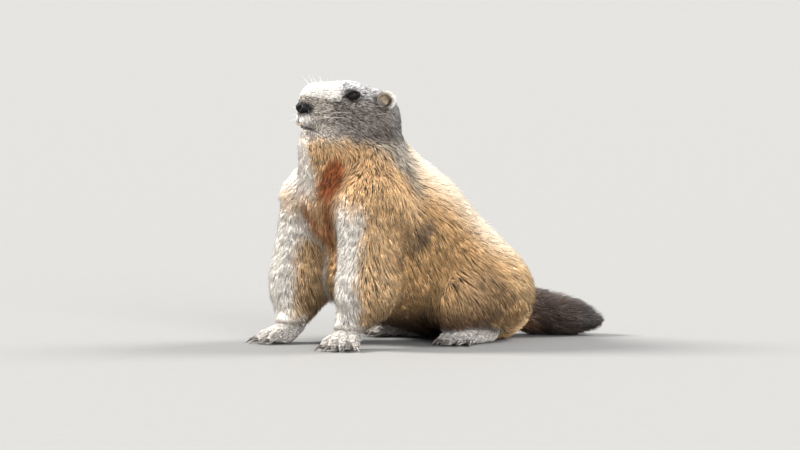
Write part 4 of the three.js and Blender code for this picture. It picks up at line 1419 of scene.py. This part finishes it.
for name, s in SIDES.items():
    points, faces, normals, centre, opening, places = ear_shell(s)
    inside = ramp(np.arange(len(points)) // EAR_COLUMNS, 14.5, 16.5)
    shade = ear_colours(inside, places)
    shell = make_piece(f"{name}_ear_shell", to_frame(points), faces)
    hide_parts(f"{name}_ear")
    ear_skin.on(shell)
    paint(shell, shade)
    points, faces, uv, shade = ear_tufts(points, faces, normals, shade, inside, centre, opening)
    ear_fur = make_piece(f"{name}_ear_fur", to_frame(points), faces)
    fur.on(ear_fur)
    paint(ear_fur, shade)
    keep_uv(ear_fur, uv, faces)
print("ears in place")

# %% [markdown]
# ## Whiskers and claws
# Whiskers are stiff pale bristles, thick at the root, in a few rows on the lip pads, over the eye
# and under the chin. Claws are long, curved and dark horn, with lengthwise grain.

# %% Whiskers
whisker_finish = Finish("whisker_bristle", IOR=1.55, Specular_IOR_Level=0.5)
tone = whisker_finish.noise(300, 2.0)
whisker_finish.set(
    Base_Color=whisker_finish.colours(tone, (0.75, 0.70, 0.60, 1), (0.90, 0.87, 0.80, 1)),
    Roughness=whisker_finish.between(tone, 0.3, 0.7, 0.3, 0.45),
)


def whisker(root, way, length, sag, thick=0.17):
    """A bristle: root + way * length * t, sagging by sag * t^2, its radius thick * (1 - t)."""
    t = np.linspace(0, 1, 9)
    path = root + (t * length)[:, None] * unit(way) + (t**2 * sag)[:, None] * np.array([0, 0, -1.0])
    return swept_tube(path, thick * (1 - t) + 0.02, 5)


bristles = []
for s in (1, -1):
    for row in range(3):
        for column in range(4):
            spot = on_head(52 - column * 5.5, s * (9 + column * 2.2), -9 - row * 3.4)
            way = FORWARD * (0.42 - 0.3 * column) + LEFT * s + TOP * (0.30 - 0.28 * row)
            length = 20 + 5 * column + 3 * rng.random()
            bristles.append(whisker(spot, way + 0.1 * rng.normal(size=3), length, 3))
    for step in range(4):
        spot = on_head(44 - step * 4, s * (12 + 1.5 * step), 18 + step)
        way = FORWARD * (0.9 - 0.25 * step) + LEFT * s * 0.3 + TOP
        bristles.append(whisker(spot, way + 0.08 * rng.normal(size=3), 20 - 2 * step, 1))
for step in range(5):
    spot = on_head(38 - step * 3, (step - 2) * 4, -38)
    bristles.append(whisker(spot, FORWARD * 0.5 - TOP + LEFT * 0.2 * (step - 2), 12, 1, 0.18))
points, faces = joined_pieces(bristles)
whiskers = make_piece("whiskers", to_frame(points), faces)
whisker_finish.on(whiskers)

# %% Claws
horn = Finish("claw_horn", Coat_Weight=0.15, Coat_Roughness=0.3, IOR=1.54)
grain = horn.noise(420, 4.0, horn.stretched(1, 0.3, 1))
dark_horn, pale_horn = (0.030, 0.022, 0.018, 1), (0.12, 0.095, 0.075, 1)
horn.set(
    Base_Color=horn.colours(horn.between(grain, 0.35, 0.7, 0, 1), dark_horn, pale_horn),
    Roughness=horn.between(grain, 0.3, 0.7, 0.3, 0.5),
).bumps(grain, 0.0002)
for (side, kind), joints in digits.items():
    length, radius = (12, 2.4) if kind == "fore" else (10, 2.2)
    for number, joint in enumerate(joints, 1):
        end, way = joint[-1], unit((joint[-1] - joint[-2]) * [1, 1, 0])
        t = np.linspace(0, 1, 14)
        rise = 0.4 + 2.6 * np.sin(np.pi * np.minimum(t * 1.1, 1)) * 0.55 - 3.4 * t**2
        path = end + ((t * 1.15 - 0.15) * length)[:, None] * way + rise[:, None] * np.array([0, 0, 1.0])
        path[:, 2] = np.maximum(path[:, 2], 0.35)
        radii = radius * (1 - t**1.6) * np.where(t > 0, 1, 0.02) + 0.15
        points, faces = swept_tube(path, radii, 12)
        points[:, 2] = np.maximum(points[:, 2], 0.02)
        claw = make_piece(f"{side}_{kind}_claw_{number}", to_frame(points), faces)
        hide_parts(f"{side}_{kind}_claw_{number}")
        horn.on(claw)
print("whiskers and claws in place")

# %% [markdown]
# ## Floor, light and camera
# A plain pale floor under three wide suns and a pale sky. The strongest sun is ahead of the animal
# and to its right, which is the left of the view, one is behind it, and one fills in from its left.
# The camera looks from 55 degrees round to the animal's left, just above level, through a long lens.

# %% Floor
paper = Finish("pale_floor", Specular_IOR_Level=0.2)
speckle = paper.noise(60, 3.0)
greys = (0.165, 0.163, 0.159, 1), (0.178, 0.176, 0.172, 1)
paper.set(Base_Color=paper.colours(speckle, *greys), Roughness=0.8)
mesh = bpy.data.meshes.new("floor")
HALF_FLOOR = 400  # metres
corners = [(x * HALF_FLOOR, y * HALF_FLOOR, 0) for x, y in ((-1, -1), (1, -1), (1, 1), (-1, 1))]
mesh.from_pydata(corners, [], [(0, 1, 2, 3)])
floor = bpy.data.objects.new("floor", mesh)
bpy.context.scene.collection.objects.link(floor)
paper.on(floor)
floor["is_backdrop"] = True


# %% Lights
def soft_sun(name, place, softness, power, warmth=(1, 1, 1)):
    """A far, wide light shining from a direction, so that the floor is lit evenly."""
    lamp = bpy.data.lights.new(name, "SUN")
    lamp.angle, lamp.energy, lamp.color = np.radians(softness), power, warmth
    holder = bpy.data.objects.new(name, lamp)
    holder.rotation_euler = Vector([-v for v in place]).to_track_quat("-Z", "Y").to_euler()
    bpy.context.scene.collection.objects.link(holder)


soft_sun("key_from_the_left", (-1.15, -1.15, 1.2), 22, 10.0, (1, 0.975, 0.93))
soft_sun("rim_from_behind", (0.3, 1.4, 1.2), 30, 5.0, (1, 0.98, 0.95))
soft_sun("fill_from_the_right", (0.91, -0.24, 0.34), 30, 3.6, (0.98, 0.99, 1))
world = bpy.data.worlds.new("studio")
world.use_nodes = True
world.node_tree.nodes["Background"].inputs["Color"].default_value = (0.86, 0.89, 0.93, 1)
world.node_tree.nodes["Background"].inputs["Strength"].default_value = 1.05
bpy.context.scene.world = world

# %% Camera
DISTANCE, LENS, SENSOR = 12.0, 157.9 * 3, 36  # metres, millimetres and millimetres
AIM_RIGHT, AIM_UP = -34.2, 131.1
azimuth, elevation = np.radians(55), np.radians(4)
level = np.array([np.sin(azimuth), -np.cos(azimuth), 0])
toward = level * np.cos(elevation) + np.array([0, 0, np.sin(elevation)])
right = np.array([np.cos(azimuth), np.sin(azimuth), 0])
upward = np.cross(toward, right)
target = Vector(to_frame(right * AIM_RIGHT + upward * AIM_UP))
lens = bpy.data.cameras.new("long_lens")
lens.lens, lens.sensor_width = LENS, SENSOR
camera = bpy.data.objects.new("camera", lens)
camera.location = target + Vector(toward) * DISTANCE
camera.rotation_euler = (target - camera.location).to_track_quat("-Z", "Y").to_euler()
bpy.context.scene.collection.objects.link(camera)
bpy.context.scene.camera = camera
bpy.context.scene.view_settings.view_transform = "Standard"

# %% Check the size and finish
low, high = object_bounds()
grown = [[a - b for a, b in zip(cad_low, low)], [b - a for a, b in zip(cad_high, high)]]
print("grown by, mm:", [[round(past / MM, 1) for past in side] for side in grown])
